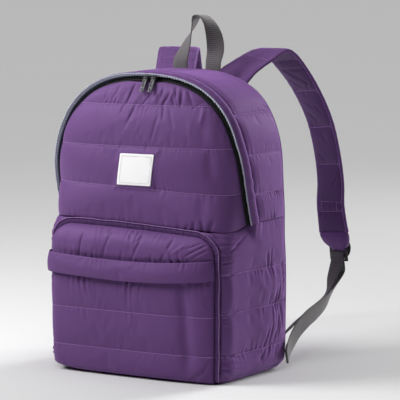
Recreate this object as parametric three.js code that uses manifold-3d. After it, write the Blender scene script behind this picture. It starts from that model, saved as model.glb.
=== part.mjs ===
// A quilted day pack: a hollow padded body with an arched zip, a front pocket under a flap,
// two padded shoulder straps with webbing adjusters, and a webbing grab handle.
// Millimetres. X runs to the right seen from the front, Y from the front to the back, Z up.
// The origin is the middle of the flat base.

import * as THREE from 'three';
import { mergeVertices } from 'three/addons/utils/BufferGeometryUtils.js';
import Module from 'manifold-3d';

const wasm = await Module();
wasm.setup();

// Body outline
const HALF_WIDTH = 149;      // side seams
const TOP_Z = 418;           // stitched top of the arch
const ARCH_Z = 262;          // where the straight sides turn into the arch
const ARCH_POWER = 2.5;      // squareness of the arch
const SEAM_Z = 216;          // seam between the upper and lower halves
const GAP = 0.4;             // clearance between neighbouring pieces
const LINING = 2;            // cloth and lining at a seam
const PUFF = 5;              // lift of the filling between two rows of stitching
const EDGE_FADE = 14;        // distance from a seam over which the filling thins out

// Depths
const BACK_Y = 79;           // back seam at the base
const BACK_LEAN = 13;        // how much further back the top of that seam is
const BACK_LEAN_POWER = 1.5;
const BACK_CROWN = 4;        // bulge of the back panel
const FRONT_Y = -77;         // front seam and the foot of the front panel
const FRONT_RISE = 30;       // how far the front panel falls back at its top
const FRONT_RISE_POWER = 2.8;
const ZIP_Y = -40;           // zip along the arch
const ZIP_SWEEP = 30;        // how far the zip's ends curve back down the sides
const ZIP_SWEEP_Z = 330;     // height where that curve begins
const ZIP_SWEEP_POWER = 1.2;

// Zip: a sunken tape between the front panel and a lip on the upper gusset
const LIP_OUT = 3;           // the lip stands this far in front of the zip line
const LIP_WIDTH = 14;
const LIP_PUFF = 1;
const TAPE_THICK = 1.4;
const TAPE_BACK = { inset: 4.2, behind: 6 };
const TAPE_FRONT = { inset: 9, behind: -4.2 };
const PANEL_EDGE = { inset: 9.5, behind: -4.7 };

// Rows of stitching, as heights
const FRONT_ROWS = [265, 319, 376];
const SIDE_ROWS = [256, 309, 363];
const LOW_ROWS = [38, 96, 150];
const POCKET_ROWS = [30, 87];
const BACK_ROWS = [75, 150, 225, 300, 365];

// Lower half
const CORNER_X = 136;        // front corner seams
const CORNER_SWEEP = 57;     // depth over which the corner swells to the full width
const BACK_INSET = 0.5;      // the back corners are narrower than the sides
const FLOOR_RADIUS = 14;     // bottom edges of the sides
const FLOOR_LIFT = 4;        // front and back bottom seams above the floor
const FLOOR_LIFT_RUN = 10;   // depth over which the floor rises to those seams
const SHOULDER_Z = 184;      // above this the lower half draws in to meet the upper one

// Front pocket
const POCKET_X = 128;
const POCKET_TOP = 208.5;
const POCKET_RADIUS = 28;
const POCKET_FOOT = 4;
const POCKET_CROWN = 20;
const POCKET_FOOT_CROWN = 15;
const POCKET_FOOT_ROUND = 9; // height over which its foot turns under to the front seam
const POCKET_POWER = 2.8;    // squareness of its crown
const MOUTH_Z = 150;
const BINDING_WIDTH = 6.4;
const BINDING_THICK = 3;
const FLAP_HEIGHT = 27;
const FLAP_SAG = 8;          // its ends are this much higher than its middle
const FLAP_OFF = 1.1;        // space behind its top edge
const FLAP_DROOP = 3;        // more space behind its lower edge
const FLAP_PUFF = 3;

// Label
const LABEL = { width: 55, height: 45, x: 4, z: 287, thick: 1, off: 0.5 };

// Zip sliders and their pulls
const SLIDER_X = { left: 3, right: 15.8 };
const SLIDER = { width: 9.8, depth: 7.5, height: 2.2 };
const PIN_RADIUS = 0.8;
const PIN = { y: -49, z: TOP_Z - 5 };
const EAR_THICK = 1.1;
const KNUCKLE_RADIUS = 1.9;
const KNUCKLE_BORE = 1.15;
const PULL = { width: 7, length: 22, thick: 1.4, hole: 1.7, holeAt: 18.4, tilt: 30 };

// Webbing
const WEB_WIDTH = 25;
const WEB_THICK = 1.4;

// Grab handle, from its left root over the top to its right root; twist turns its width from X
const HANDLE_Y = 89;
const HANDLE_FOOT = TOP_Z + 1.6;
const HANDLE = [
  { x: -25, y: 0, z: HANDLE_FOOT, twist: 0 },
  { x: -25, y: 0, z: 432, twist: -4 },
  { x: -18, y: 5, z: 456, twist: -32 },
  { x: -9, y: 9, z: 481, twist: -70 },
  { x: -3, y: 10, z: 497, twist: -90 },
  { x: 7, y: 10, z: 497, twist: -90 },
  { x: 18, y: 9, z: 487, twist: -105 },
  { x: 27, y: 7, z: 468, twist: -132 },
  { x: 31, y: 4, z: 448, twist: -160 },
  { x: 30, y: 0, z: 432, twist: -178 },
  { x: 29, y: 0, z: HANDLE_FOOT, twist: -180 },
];

// Right shoulder strap along its middle; turn swings its outer edge forward, tilt drops it
const STRAP_ROOT = { x: 44, z: 402, run: 5 };
const STRAP_EDGE = 3;        // thickness at its bound edges
const STRAP_PUFF = 3.2;      // lift of each face between two rows of stitching
const STRAP_ROW = 52;        // distance between rows along the strap
const STRAP = [
  { x: 56, y: 126, z: 421, turn: 14, tilt: 6, width: 60 },
  { x: 70, y: 154, z: 438, turn: 12, tilt: 2, width: 60 },
  { x: 76, y: 166, z: 444, turn: 12, tilt: 0, width: 60 },
  { x: 81, y: 177, z: 446, turn: 12, tilt: 0, width: 60 },
  { x: 86, y: 188, z: 440, turn: 13, tilt: 0, width: 60 },
  { x: 95, y: 208, z: 419, turn: 16, tilt: 0, width: 59 },
  { x: 104, y: 230, z: 388, turn: 20, tilt: 0, width: 58 },
  { x: 115, y: 246, z: 345, turn: 22, tilt: 0, width: 57 },
  { x: 123, y: 255, z: 298, turn: 22, tilt: 0, width: 56 },
  { x: 129, y: 260, z: 250, turn: 20, tilt: 0, width: 55 },
  { x: 131.5, y: 261, z: 216, turn: 17, tilt: 0, width: 54 },
  { x: 134, y: 262, z: 192, turn: 15, tilt: 0, width: 54 },
  { x: 136, y: 264, z: 174, turn: 12, tilt: 0, width: 54 },
];

// Ladder lock at the strap's end: three bars across, with two slots between them
const LOCK = { x: 139, y: 272.5, z: 150, turn: 16, lean: 8 };
const LOCK_WIDTH = 35;
const LOCK_DEPTH = 3;
const LOCK_BAR = 3.2;
const LOCK_PITCH = 9;
const LOCK_RAIL = 4;
const LOCK_RADIUS = 3;
const LOCK_CORNER_CELLS = 2;

// Cloth tab that ties the strap's end to the top bar
const TAB_WIDTH = { top: 52, middle: 44, low: 32, bar: 26 };
const TAB_RISE = { middle: 0.6, low: 0.2 };
const TAB_THICK = 1.4;
const TAB_SPREAD = 2.2;
const TAB_OFF = 2;           // distance below the strap's end
const TAB_LOOP = { down: 3.3, out: 3.1 };

// Webbing from the foot of the back to the lock; lift raises the outer edge
const WEB_FOOT = { x: 138, z: 38, run: 8, turn: 0, lift: 50 };
const WEB = [
  { x: 137, y: 122, z: 47.6, turn: 6, lift: 38 },
  { x: 135, y: 156, z: 57, turn: 9, lift: 32 },
  { x: 134.5, y: 198, z: 68, turn: 11, lift: 32 },
  { x: 135, y: 230, z: 78, turn: 20, lift: 33 },
  { x: 136, y: 250, z: 90, turn: 36, lift: 30 },
  { x: 137, y: 257, z: 107, turn: 26, lift: 14 },
];
// Threading through the lock: distance down from its top bar, and out from its middle plane
const WEB_IN_LOCK = [
  { down: 19, out: -4.8 },
  { down: 10, out: -3.4 },
  { down: 6.8, out: -2.4 },
  { down: 5.6, out: 0 },
  { down: 4, out: 4.6 },
  { down: -3, out: 6.6 },
  { down: -8, out: 9.6 },
  { down: -4, out: 13 },
  { down: 4, out: 13.4 },
  { down: 11, out: 9.6 },
  { down: 13.8, out: 4 },
  { down: 14, out: 0 },
  { down: 15.6, out: -2.1 },
  { down: 18, out: -2.7 },
  { down: 22, out: -2.3 },
];
// The free end beyond the lock
const WEB_TAIL = [
  { x: 138, y: 277, z: 112, turn: 20, lift: 10 },
  { x: 140, y: 262, z: 95, turn: 24, lift: 40 },
  { x: 146, y: 226, z: 78, turn: 18, lift: 70 },
  { x: 149, y: 184, z: 67, turn: 8, lift: 88 },
  { x: 150.5, y: 152, z: 59.5, turn: 0, lift: 92 },
  { x: 151.5, y: 123, z: 48, turn: 0, lift: 90 },
  { x: 153.5, y: 99.5, z: 34, turn: 0, lift: 90 },
  { x: 157, y: 83, z: 24, turn: 0, lift: 90 },
  { x: 160, y: 73, z: 17.5, turn: 0, lift: 90 },
];
const HEM_LENGTH = 14;       // the free end is folded back on itself over this length
const HEM_THICK = 3;

// Finishes
const CLOTH = { color: 0x6b4a80, roughness: 0.55, metalness: 0 };
const LINING_CLOTH = { color: 0x6a6f86, roughness: 0.5, metalness: 0 };
const WEBBING = { color: 0x5d585b, roughness: 0.8, metalness: 0 };
const ZIP_TAPE = { color: 0x17161a, roughness: 0.7, metalness: 0 };
const MOULDING = { color: 0x141416, roughness: 0.45, metalness: 0 };
const DARK_METAL = { color: 0x4b4a4e, roughness: 0.4, metalness: 0.8 };
const LABEL_CLOTH = { color: 0xf3f0f2, roughness: 0.7, metalness: 0 };

const pack = new THREE.Group();

/** Adds one named piece with its own finish. */
function piece(name, geometry, finish) {
  const mesh = new THREE.Mesh(geometry, new THREE.MeshStandardMaterial(finish));
  mesh.name = name;
  pack.add(mesh);
  return mesh;
}

const UP = new THREE.Vector3(0, 0, 1);
const radians = THREE.MathUtils.degToRad;
const clamp01 = (value) => THREE.MathUtils.clamp(value, 0, 1);
const lerp = THREE.MathUtils.lerp;

/** A list of evenly spaced numbers, both ends included. */
function spread(from, to, cells) {
  return Array.from({ length: cells + 1 }, (_, i) => lerp(from, to, i / cells));
}

/** Heights for a quilted panel: the same number of cells in each channel between two rows. */
function channelHeights(limits, cells) {
  const heights = [limits[0]];
  for (let i = 1; i < limits.length; i += 1) {
    heights.push(...spread(limits[i - 1], limits[i], cells).slice(1));
  }
  return heights;
}

/** Fullness of the filling at a height: none on a row of stitching, full between two rows. */
function fullness(z, limits) {
  const above = limits.findIndex((limit) => limit > z);
  if (above <= 0) return 0;
  const share = (z - limits[above - 1]) / (limits[above] - limits[above - 1]);
  return Math.sqrt(Math.sin(Math.PI * share));
}

/** How much of the filling is left at a distance from a seam. */
function seamFade(distance) {
  return Math.sqrt(clamp01(distance / EDGE_FADE));
}

/** Radius of a unit superellipse at an angle. */
function superRadius(angle, power) {
  const sum = Math.abs(Math.cos(angle)) ** power + Math.abs(Math.sin(angle)) ** power;
  return sum ** (-1 / power);
}

/** Turns a geometry's faces outward if they point in. */
function faceOut(geometry) {
  const position = geometry.attributes.position;
  const index = geometry.index;
  const [a, b, c] = [new THREE.Vector3(), new THREE.Vector3(), new THREE.Vector3()];
  let volume = 0;
  for (let i = 0; i < index.count; i += 3) {
    a.fromBufferAttribute(position, index.getX(i));
    b.fromBufferAttribute(position, index.getX(i + 1));
    c.fromBufferAttribute(position, index.getX(i + 2));
    volume += a.dot(b.cross(c));
  }
  if (volume < 0) index.array.reverse();
  return geometry;
}

/** An indexed geometry from points and triangles. */
function solid(points, triangles) {
  const geometry = new THREE.BufferGeometry();
  geometry.setFromPoints(points);
  geometry.setIndex(triangles);
  geometry.computeVertexNormals();
  return faceOut(geometry);
}

/**
 * A closed wall on a grid of points, rows by columns, whose columns cross its rows outward.
 * It reaches from the lining, inside the grid, to the puffed cloth, outside it.
 */
function wall(grid, puffAt, lining = LINING) {
  const lastRow = grid.length - 1;
  const lastColumn = grid[0].length - 1;
  const columns = lastColumn + 1;
  const outer = [];
  const inner = [];
  for (let r = 0; r <= lastRow; r += 1) {
    for (let c = 0; c <= lastColumn; c += 1) {
      const row = grid[r];
      const across = row[Math.min(c + 1, lastColumn)].clone().sub(row[Math.max(c - 1, 0)]);
      const up = grid[Math.min(r + 1, lastRow)][c].clone().sub(grid[Math.max(r - 1, 0)][c]);
      const normal = across.cross(up).normalize();
      outer.push(row[c].clone().addScaledVector(normal, puffAt(r, c)));
      inner.push(row[c].clone().addScaledVector(normal, -lining));
    }
  }
  const at = (r, c) => r * columns + c;
  const under = (vertex) => vertex + outer.length;
  const triangles = [];
  for (let r = 0; r < lastRow; r += 1) {
    for (let c = 0; c < lastColumn; c += 1) {
      const [p, q, s, t] = [at(r, c), at(r, c + 1), at(r + 1, c + 1), at(r + 1, c)];
      triangles.push(p, q, s, p, s, t);
      triangles.push(under(p), under(s), under(q), under(p), under(t), under(s));
    }
  }
  const rim = [];
  for (let c = 0; c < lastColumn; c += 1) rim.push(at(0, c));
  for (let r = 0; r < lastRow; r += 1) rim.push(at(r, lastColumn));
  for (let c = lastColumn; c > 0; c -= 1) rim.push(at(lastRow, c));
  for (let r = lastRow; r > 0; r -= 1) rim.push(at(r, 0));
  rim.forEach((from, i) => {
    const to = rim[(i + 1) % rim.length];
    triangles.push(to, from, under(from), to, under(from), under(to));
  });
  return solid([...outer, ...inner], triangles);
}

/**
 * A closed solid through a row of sections, each the same number of points round. Both faces of
 * a band are cut along the same diagonal, so that they stay apart where it twists.
 */
function loft(sections) {
  const sides = sections[0].length;
  const triangles = [];
  for (let i = 0; i < sections.length - 1; i += 1) {
    for (let k = 0; k < sides; k += 1) {
      const next = (k + 1) % sides;
      const [p, q] = [i * sides + k, i * sides + next];
      const [s, t] = [q + sides, p + sides];
      if (k < sides / 2) triangles.push(p, q, s, p, s, t);
      else triangles.push(p, q, t, q, s, t);
    }
  }
  const last = (sections.length - 1) * sides;
  for (let k = 1; k < sides - 1; k += 1) {
    triangles.push(0, k + 1, k, last, last + k, last + k + 1);
  }
  return solid(sections.flat(), triangles);
}

/** Points of a flat band's section: its four corners about a middle point. */
function bandSection(middle, across, out, width, thick) {
  const corners = [[-1, -1], [1, -1], [1, 1], [-1, 1]];
  return corners.map(([a, b]) => middle.clone()
    .addScaledVector(across, (a * width) / 2)
    .addScaledVector(out, (b * thick) / 2));
}

/** Sections of a band along a smooth path; sectionAt shapes each from its frame and its place. */
function sweep(stations, steps, sectionAt) {
  const curve = new THREE.CatmullRomCurve3(stations.map((station) => station.point), false, 'centripetal');
  const sections = [];
  const count = (stations.length - 1) * steps;
  let run = 0;
  let previous = null;
  for (let i = 0; i <= count; i += 1) {
    const middle = curve.getPoint(i / count);
    const along = curve.getTangent(i / count);
    const from = stations[Math.min(Math.floor(i / steps), stations.length - 2)];
    const to = stations[stations.indexOf(from) + 1];
    const share = i / steps - stations.indexOf(from);
    const across = from.across.clone().lerp(to.across, share);
    across.addScaledVector(along, -across.dot(along)).normalize();
    const out = across.clone().cross(along);
    if (previous) run += middle.distanceTo(previous);
    previous = middle;
    sections.push(sectionAt({ middle, across, out, along, run, width: lerp(from.width, to.width, share) }));
  }
  return sections;
}

/** Width direction that starts along X, turns its outer end forward and then lifts it. */
function widthDirection(turn, lift) {
  const level = Math.cos(radians(lift));
  return new THREE.Vector3(
    Math.cos(radians(turn)) * level,
    -Math.sin(radians(turn)) * level,
    Math.sin(radians(lift)),
  );
}

/** The same points on the other side of the pack. */
function mirrored(sections) {
  return sections.map((section) => section.map((point) => new THREE.Vector3(-point.x, point.y, point.z)));
}

/** A manifold solid from a closed geometry. */
function toManifold(geometry) {
  const bare = geometry.clone();
  bare.deleteAttribute('normal');
  bare.deleteAttribute('uv');
  const merged = mergeVertices(bare);
  return new wasm.Manifold(new wasm.Mesh({
    numProp: 3,
    vertProperties: merged.attributes.position.array,
    triVerts: new Uint32Array(merged.index.array),
  }));
}

/** A geometry from a manifold solid. */
function fromManifold(body) {
  const mesh = body.getMesh();
  const geometry = new THREE.BufferGeometry();
  geometry.setAttribute('position', new THREE.BufferAttribute(mesh.vertProperties, 3));
  geometry.setIndex(new THREE.BufferAttribute(mesh.triVerts, 1));
  geometry.computeVertexNormals();
  return geometry;
}

/** Half width of the body's outline at a height, moved in by an inset. */
function outlineX(z, inset) {
  const side = HALF_WIDTH - inset;
  if (z <= ARCH_Z) return side;
  const share = clamp01((z - ARCH_Z) / (TOP_Z - inset - ARCH_Z));
  return side * (1 - share ** ARCH_POWER) ** (1 / ARCH_POWER);
}

const zipLow = (z) => clamp01((ZIP_SWEEP_Z - z) / (ZIP_SWEEP_Z - SEAM_Z));
const zipY = (z) => ZIP_Y + ZIP_SWEEP * zipLow(z) ** ZIP_SWEEP_POWER;
const backY = (z) => BACK_Y + BACK_LEAN * clamp01(z / TOP_Z) ** BACK_LEAN_POWER;

const SIDE_CELLS = 3;
const ARCH_CELLS = 16;
const ARCH_FULL_POWER = 0.25; // how soon the filling is full above the top row

/**
 * Places round the upper outline from the left seam over the arch to the right seam. The sides
 * have a place on each row of stitching, and the top is divided by angle.
 */
function archPlaces(inset) {
  const top = TOP_Z - inset - ARCH_Z;
  const lastRow = SIDE_ROWS[SIDE_ROWS.length - 1];
  const rowAngle = Math.atan2((lastRow - ARCH_Z) / top, outlineX(lastRow, inset) / (HALF_WIDTH - inset));
  const right = channelHeights([SEAM_Z + GAP, ...SIDE_ROWS], SIDE_CELLS)
    .map((z) => ({ x: outlineX(z, inset), z, full: fullness(z, [SEAM_Z, ...SIDE_ROWS, TOP_Z]) }));
  const arch = spread(Math.PI - rowAngle, rowAngle, ARCH_CELLS).slice(1, -1).map((angle) => {
    const radius = superRadius(angle, ARCH_POWER);
    const turn = (angle - rowAngle) / (Math.PI - 2 * rowAngle);
    return {
      x: (HALF_WIDTH - inset) * radius * Math.cos(angle),
      z: ARCH_Z + top * radius * Math.sin(angle),
      full: Math.sin(Math.PI * turn) ** ARCH_FULL_POWER,
    };
  });
  const left = right.map((place) => ({ ...place, x: -place.x }));
  return [...left, ...arch, ...right.reverse()];
}

// Upper gusset and the lip over the zip
const UPPER_CROWN = 2;
const UPPER_CELLS = 6;
const LIP_CELLS = 2;
const upperPlaces = archPlaces(0);

/** Rows of points round the arch between two depths, given as functions of height. */
function archGrid(places, startY, endY, cells, crown) {
  return spread(0, 1, cells).map((share) => places.map(({ x, z }) => {
    const bulge = crown * Math.sin(Math.PI * share);
    const reach = 1 + bulge / HALF_WIDTH;
    const rise = z > ARCH_Z ? (z - ARCH_Z) * (bulge / (TOP_Z - ARCH_Z)) : 0;
    return new THREE.Vector3(x * reach, lerp(startY(z), endY(z), share), z + rise);
  }));
}

const lipStart = (z) => zipY(z) - LIP_OUT;
const lipEnd = (z) => lipStart(z) + LIP_WIDTH;
const gussetStart = (z) => lipEnd(z) + GAP;
const upperGrid = archGrid(upperPlaces, gussetStart, backY, UPPER_CELLS, UPPER_CROWN);
piece('zip_gusset', wall(upperGrid, (r, c) => {
  const point = upperGrid[r][c];
  const fade = seamFade(Math.min(point.y - gussetStart(point.z), backY(point.z) - point.y));
  return PUFF * fade * upperPlaces[c].full;
}), CLOTH);

const lipGrid = archGrid(upperPlaces, lipStart, lipEnd, LIP_CELLS, 0);
piece('zip_flap', wall(lipGrid, (r) => (r > 0 && r < LIP_CELLS ? LIP_PUFF : 0)), CLOTH);

// Zip tape
const tapeBack = archPlaces(TAPE_BACK.inset);
const tapeFront = archPlaces(TAPE_FRONT.inset);
const tapePoint = (place, edge) => new THREE.Vector3(place.x, zipY(place.z) + edge.behind, place.z);
const tapeGrid = [
  tapeFront.map((place) => tapePoint(place, TAPE_FRONT)),
  tapeBack.map((place) => tapePoint(place, TAPE_BACK)),
];
piece('main_zip', wall(tapeGrid, () => TAPE_THICK / 2, TAPE_THICK / 2), ZIP_TAPE);

// Upper front panel: level sections, each a rounded box that shrinks towards the top of the zip
const FRONT_TOP = TOP_Z - PANEL_EDGE.inset;
const FRONT_CELLS = 24;
const FRONT_ROW_CELLS = 4;
const FRONT_CLOSE = 1.2;     // the last section is this far below the top
const FRONT_SQUARE = { foot: 5, top: 2.7, z: 300 };
const FRONT_PUFF_TOP = 0.5;  // share of the filling in the top channel

const frontRise = (z) => clamp01((z - SEAM_Z) / (FRONT_TOP - SEAM_Z)) ** FRONT_RISE_POWER;
const frontY = (z) => FRONT_Y + FRONT_RISE * frontRise(z);
const frontEdgeY = (z) => zipY(z) + PANEL_EDGE.behind;

/** A point of the front panel at a height and at an angle from its right edge to its left. */
function frontPoint(z, angle) {
  const square = lerp(FRONT_SQUARE.foot, FRONT_SQUARE.top, clamp01((z - SEAM_Z) / (FRONT_SQUARE.z - SEAM_Z)));
  const radius = superRadius(angle, square);
  return new THREE.Vector3(
    outlineX(z, PANEL_EDGE.inset) * radius * Math.cos(angle),
    frontEdgeY(z) + (frontY(z) - frontEdgeY(z)) * radius * Math.sin(angle),
    z,
  );
}

const frontLimits = [SEAM_Z + GAP, ...FRONT_ROWS, FRONT_TOP];
const frontTopRow = FRONT_ROWS[FRONT_ROWS.length - 1];
const frontHeights = [
  ...channelHeights(frontLimits.slice(0, -1), FRONT_ROW_CELLS),
  ...spread(1, 0, FRONT_ROW_CELLS).slice(1)
    .map((share) => FRONT_TOP - FRONT_CLOSE - (FRONT_TOP - FRONT_CLOSE - frontTopRow) * share * share),
];
const frontGrid = frontHeights.map((z) => (
  spread(Math.PI, 0, FRONT_CELLS).map((angle) => frontPoint(z, angle))));

/** Lift of the front panel's cloth at a point of its surface. */
function frontPuff(point) {
  const sideways = outlineX(point.z, PANEL_EDGE.inset) - Math.abs(point.x) + frontEdgeY(point.z) - point.y;
  const share = point.z > frontTopRow ? FRONT_PUFF_TOP : 1;
  return PUFF * share * fullness(point.z, frontLimits) * seamFade(sideways);
}
piece('front_panel', wall(frontGrid, (r, c) => frontPuff(frontGrid[r][c])), CLOTH);

// Label: a patch that follows the front panel's cloth
const LABEL_CELLS = 3;
const labelGrid = spread(LABEL.z - LABEL.height / 2, LABEL.z + LABEL.height / 2, LABEL_CELLS)
  .map((z) => spread(LABEL.x - LABEL.width / 2, LABEL.x + LABEL.width / 2, LABEL_CELLS)
    .map((x) => new THREE.Vector3(x, frontY(z) - PUFF - LABEL.off, z)));
piece('label', wall(labelGrid, () => LABEL.thick, 0), LABEL_CLOTH);

// Lower gusset: both sides and the floor in one strip
const LOW_SIDE_CELLS = 3;
const LOW_CORNER_CELLS = 3;
const LOW_FLOOR_CELLS = 6;
const LOW_DEPTH_CELLS = 8;
const SEAM_BAND = GAP + LINING;

/** Half width of the lower half at a depth, well below the seam. */
function lowX(y) {
  const ahead = clamp01((FRONT_Y + CORNER_SWEEP - y) / CORNER_SWEEP);
  const behind = clamp01((y - (BACK_Y - CORNER_SWEEP)) / CORNER_SWEEP);
  const swell = Math.sqrt(1 - ahead * ahead);
  return CORNER_X + (HALF_WIDTH - CORNER_X) * swell - BACK_INSET * behind * behind;
}

/** Half width of the upper half where the two halves meet. */
function meetX(y) {
  const edge = frontEdgeY(SEAM_Z);
  if (y >= edge) return HALF_WIDTH - PANEL_EDGE.inset * clamp01(1 - (y - edge) / PANEL_EDGE.inset);
  const share = clamp01((edge - y) / (edge - FRONT_Y));
  const width = outlineX(SEAM_Z, PANEL_EDGE.inset);
  const round = width * (1 - share ** FRONT_SQUARE.foot) ** (1 / FRONT_SQUARE.foot);
  return Math.max(round, CORNER_X - POCKET_RADIUS / 2);
}

/** Height of the floor at a depth. */
function floorZ(y) {
  const ahead = clamp01((FRONT_Y + FLOOR_LIFT_RUN - y) / FLOOR_LIFT_RUN);
  const behind = clamp01((y - (BACK_Y - FLOOR_LIFT_RUN)) / FLOOR_LIFT_RUN);
  return FLOOR_LIFT * Math.max(ahead, behind) ** 2;
}

/** Half width at a depth and a height near the floor, where the corner rounds in. */
function cornerX(y, z) {
  const low = clamp01((floorZ(y) + FLOOR_RADIUS - z) / FLOOR_RADIUS);
  return lowX(y) - FLOOR_RADIUS * (1 - Math.sqrt(1 - low * low));
}

/** The strip's places at one depth, from the top of the right side under the floor to the left. */
function lowPlaces(y) {
  const floor = floorZ(y);
  const limits = [SEAM_Z - GAP, ...[...LOW_ROWS].reverse(), floor + FLOOR_RADIUS];
  const side = channelHeights(limits, LOW_SIDE_CELLS).map((z) => {
    const draw = clamp01((z - SHOULDER_Z) / (SEAM_Z - SHOULDER_Z)) ** 2;
    return { x: lerp(lowX(y), meetX(y), draw), z, full: fullness(z, [0, ...LOW_ROWS, SEAM_Z]) };
  });
  const corner = spread(0, Math.PI / 2, LOW_CORNER_CELLS).slice(1).map((angle) => ({
    x: lowX(y) - FLOOR_RADIUS * (1 - Math.cos(angle)),
    z: floor + FLOOR_RADIUS * (1 - Math.sin(angle)),
    full: 0,
  }));
  const right = [...side, ...corner];
  const end = right[right.length - 1].x;
  const middle = spread(end, -end, LOW_FLOOR_CELLS).slice(1, -1).map((x) => ({ x, z: floor, full: 0 }));
  const left = right.map((place) => ({ ...place, x: -place.x })).reverse();
  return [...right, ...middle, ...left];
}

const lowDepths = [
  FRONT_Y,
  ...spread(FRONT_Y + FLOOR_LIFT_RUN, BACK_Y - FLOOR_LIFT_RUN, LOW_DEPTH_CELLS - 2),
  BACK_Y,
];
const lowRows = lowDepths.map((y) => lowPlaces(y));
const lowGrid = lowRows.map((places, r) => places.map(({ x, z }) => {
  const lean = lowDepths[r] > 0 ? (backY(z) - BACK_Y) * (lowDepths[r] / BACK_Y) : 0;
  return new THREE.Vector3(x, lowDepths[r] + lean, z);
}));
piece('lower_gusset', wall(lowGrid, (r, c) => {
  const fade = seamFade(Math.min(lowDepths[r] - FRONT_Y, BACK_Y - lowDepths[r]));
  return PUFF * fade * lowRows[r][c].full;
}), CLOTH);

// Lower front wall, behind the pocket
const LOW_WALL_CELLS = 4;
const LOW_WALL_FOOT = 9;
const lowWallGrid = spread(LOW_WALL_FOOT, SEAM_Z - SEAM_BAND, LOW_WALL_CELLS)
  .map((z) => spread(-1, 1, LOW_WALL_CELLS).map((share) => {
    const draw = clamp01((z - SHOULDER_Z) / (SEAM_Z - SHOULDER_Z)) ** 2;
    const half = lerp(cornerX(FRONT_Y, z), meetX(FRONT_Y), draw) - SEAM_BAND - GAP;
    return new THREE.Vector3(share * half, FRONT_Y, z);
  }));
piece('front_wall_lower', wall(lowWallGrid, () => 0), CLOTH);

// Back panel
const BACK_CELLS = 10;
const BACK_ROW_CELLS = 3;
const BACK_CLOSE = 1.5;
const backLimits = [FLOOR_LIFT, ...BACK_ROWS, TOP_Z];
const backTopRow = BACK_ROWS[BACK_ROWS.length - 1];
const backHeights = [
  ...channelHeights(backLimits.slice(0, -1), BACK_ROW_CELLS),
  ...spread(1, 0, BACK_ROW_CELLS + 1).slice(1)
    .map((share) => TOP_Z - BACK_CLOSE - (TOP_Z - BACK_CLOSE - backTopRow) * share * share),
];

/** Half width of the back panel at a height. */
function backX(z) {
  return lerp(cornerX(BACK_Y, z), outlineX(z, 0), clamp01((z - SHOULDER_Z) / (SEAM_Z - SHOULDER_Z)));
}

/** A point of the back panel; side runs from 1 at the right edge to -1 at the left. */
function backPoint(z, side) {
  const crown = BACK_CROWN * (1 - side ** 4) * Math.sin(Math.PI * clamp01(z / TOP_Z));
  return new THREE.Vector3(side * backX(z), backY(z) + GAP + LINING + crown, z);
}

/** Lift of the back panel's cloth. */
function backPuff(point) {
  return PUFF * fullness(point.z, backLimits) * seamFade(backX(point.z) - Math.abs(point.x));
}
const backGrid = backHeights.map((z) => spread(1, -1, BACK_CELLS).map((side) => backPoint(z, side)));
piece('back_panel', wall(backGrid, (r, c) => backPuff(backGrid[r][c])), CLOTH);

/** How far back the back panel's cloth reaches at a place. */
function backReach(x, z) {
  const point = backPoint(z, x / backX(z));
  return point.y + backPuff(point);
}

// Pocket: level sections, crowned, with round top corners
const POCKET_CELLS = 20;
const POCKET_ROW_CELLS = 3;
const POCKET_TOP_CELLS = 6;
const POCKET_TOP_EASE = 1.6; // its sections lie closer together near the top
const POCKET_Y = FRONT_Y - GAP - LINING;
const POCKET_PUFF = 3;

/** Half width of the pocket at a height. */
function pocketX(z) {
  const up = clamp01((z - (POCKET_TOP - POCKET_RADIUS)) / POCKET_RADIUS);
  return POCKET_X - POCKET_RADIUS * (1 - Math.sqrt(1 - up * up));
}

/** How far the middle of the pocket stands forward at a height. */
function pocketCrown(z) {
  const up = clamp01((z - MOUTH_Z) / (POCKET_TOP - MOUTH_Z));
  const under = 1 - clamp01((z - POCKET_FOOT) / POCKET_FOOT_ROUND);
  const foot = lerp(POCKET_FOOT_CROWN, POCKET_CROWN, clamp01(z / LOW_ROWS[1])) * Math.sqrt(1 - under * under);
  return foot * Math.sqrt(1 - up ** 3) + GAP;
}

/** A point of the pocket at a height and an angle from its right edge to its left. */
function pocketPoint(z, angle) {
  const radius = superRadius(angle, POCKET_POWER);
  return new THREE.Vector3(
    pocketX(z) * radius * Math.cos(angle),
    POCKET_Y - pocketCrown(z) * radius * Math.sin(angle),
    z,
  );
}

/** One part of the pocket between rows of stitching. */
function pocketPart(name, limits, heights) {
  const grid = heights.map((z) => spread(Math.PI, 0, POCKET_CELLS).map((angle) => pocketPoint(z, angle)));
  piece(name, wall(grid, (r, c) => {
    const point = grid[r][c];
    return POCKET_PUFF * fullness(point.z, limits) * seamFade(pocketX(point.z) - Math.abs(point.x));
  }), CLOTH);
}

const pocketLimits = [POCKET_FOOT, ...POCKET_ROWS, MOUTH_Z - GAP / 2];
const POCKET_FOOT_SHARES = [0, 0.08, 0.35];
const pocketFrontHeights = [
  ...POCKET_FOOT_SHARES.map((share) => POCKET_FOOT + share * POCKET_FOOT_ROUND),
  ...channelHeights(pocketLimits, POCKET_ROW_CELLS).slice(1),
];
pocketPart('pocket_front', pocketLimits, pocketFrontHeights);
const pocketTopLimits = [MOUTH_Z + GAP / 2, POCKET_TOP];
const pocketTopHeights = spread(1, 0, POCKET_TOP_CELLS)
  .map((share) => POCKET_TOP - (POCKET_TOP - pocketTopLimits[0]) * share ** POCKET_TOP_EASE);
pocketPart('pocket_top', pocketTopLimits, pocketTopHeights);

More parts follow.
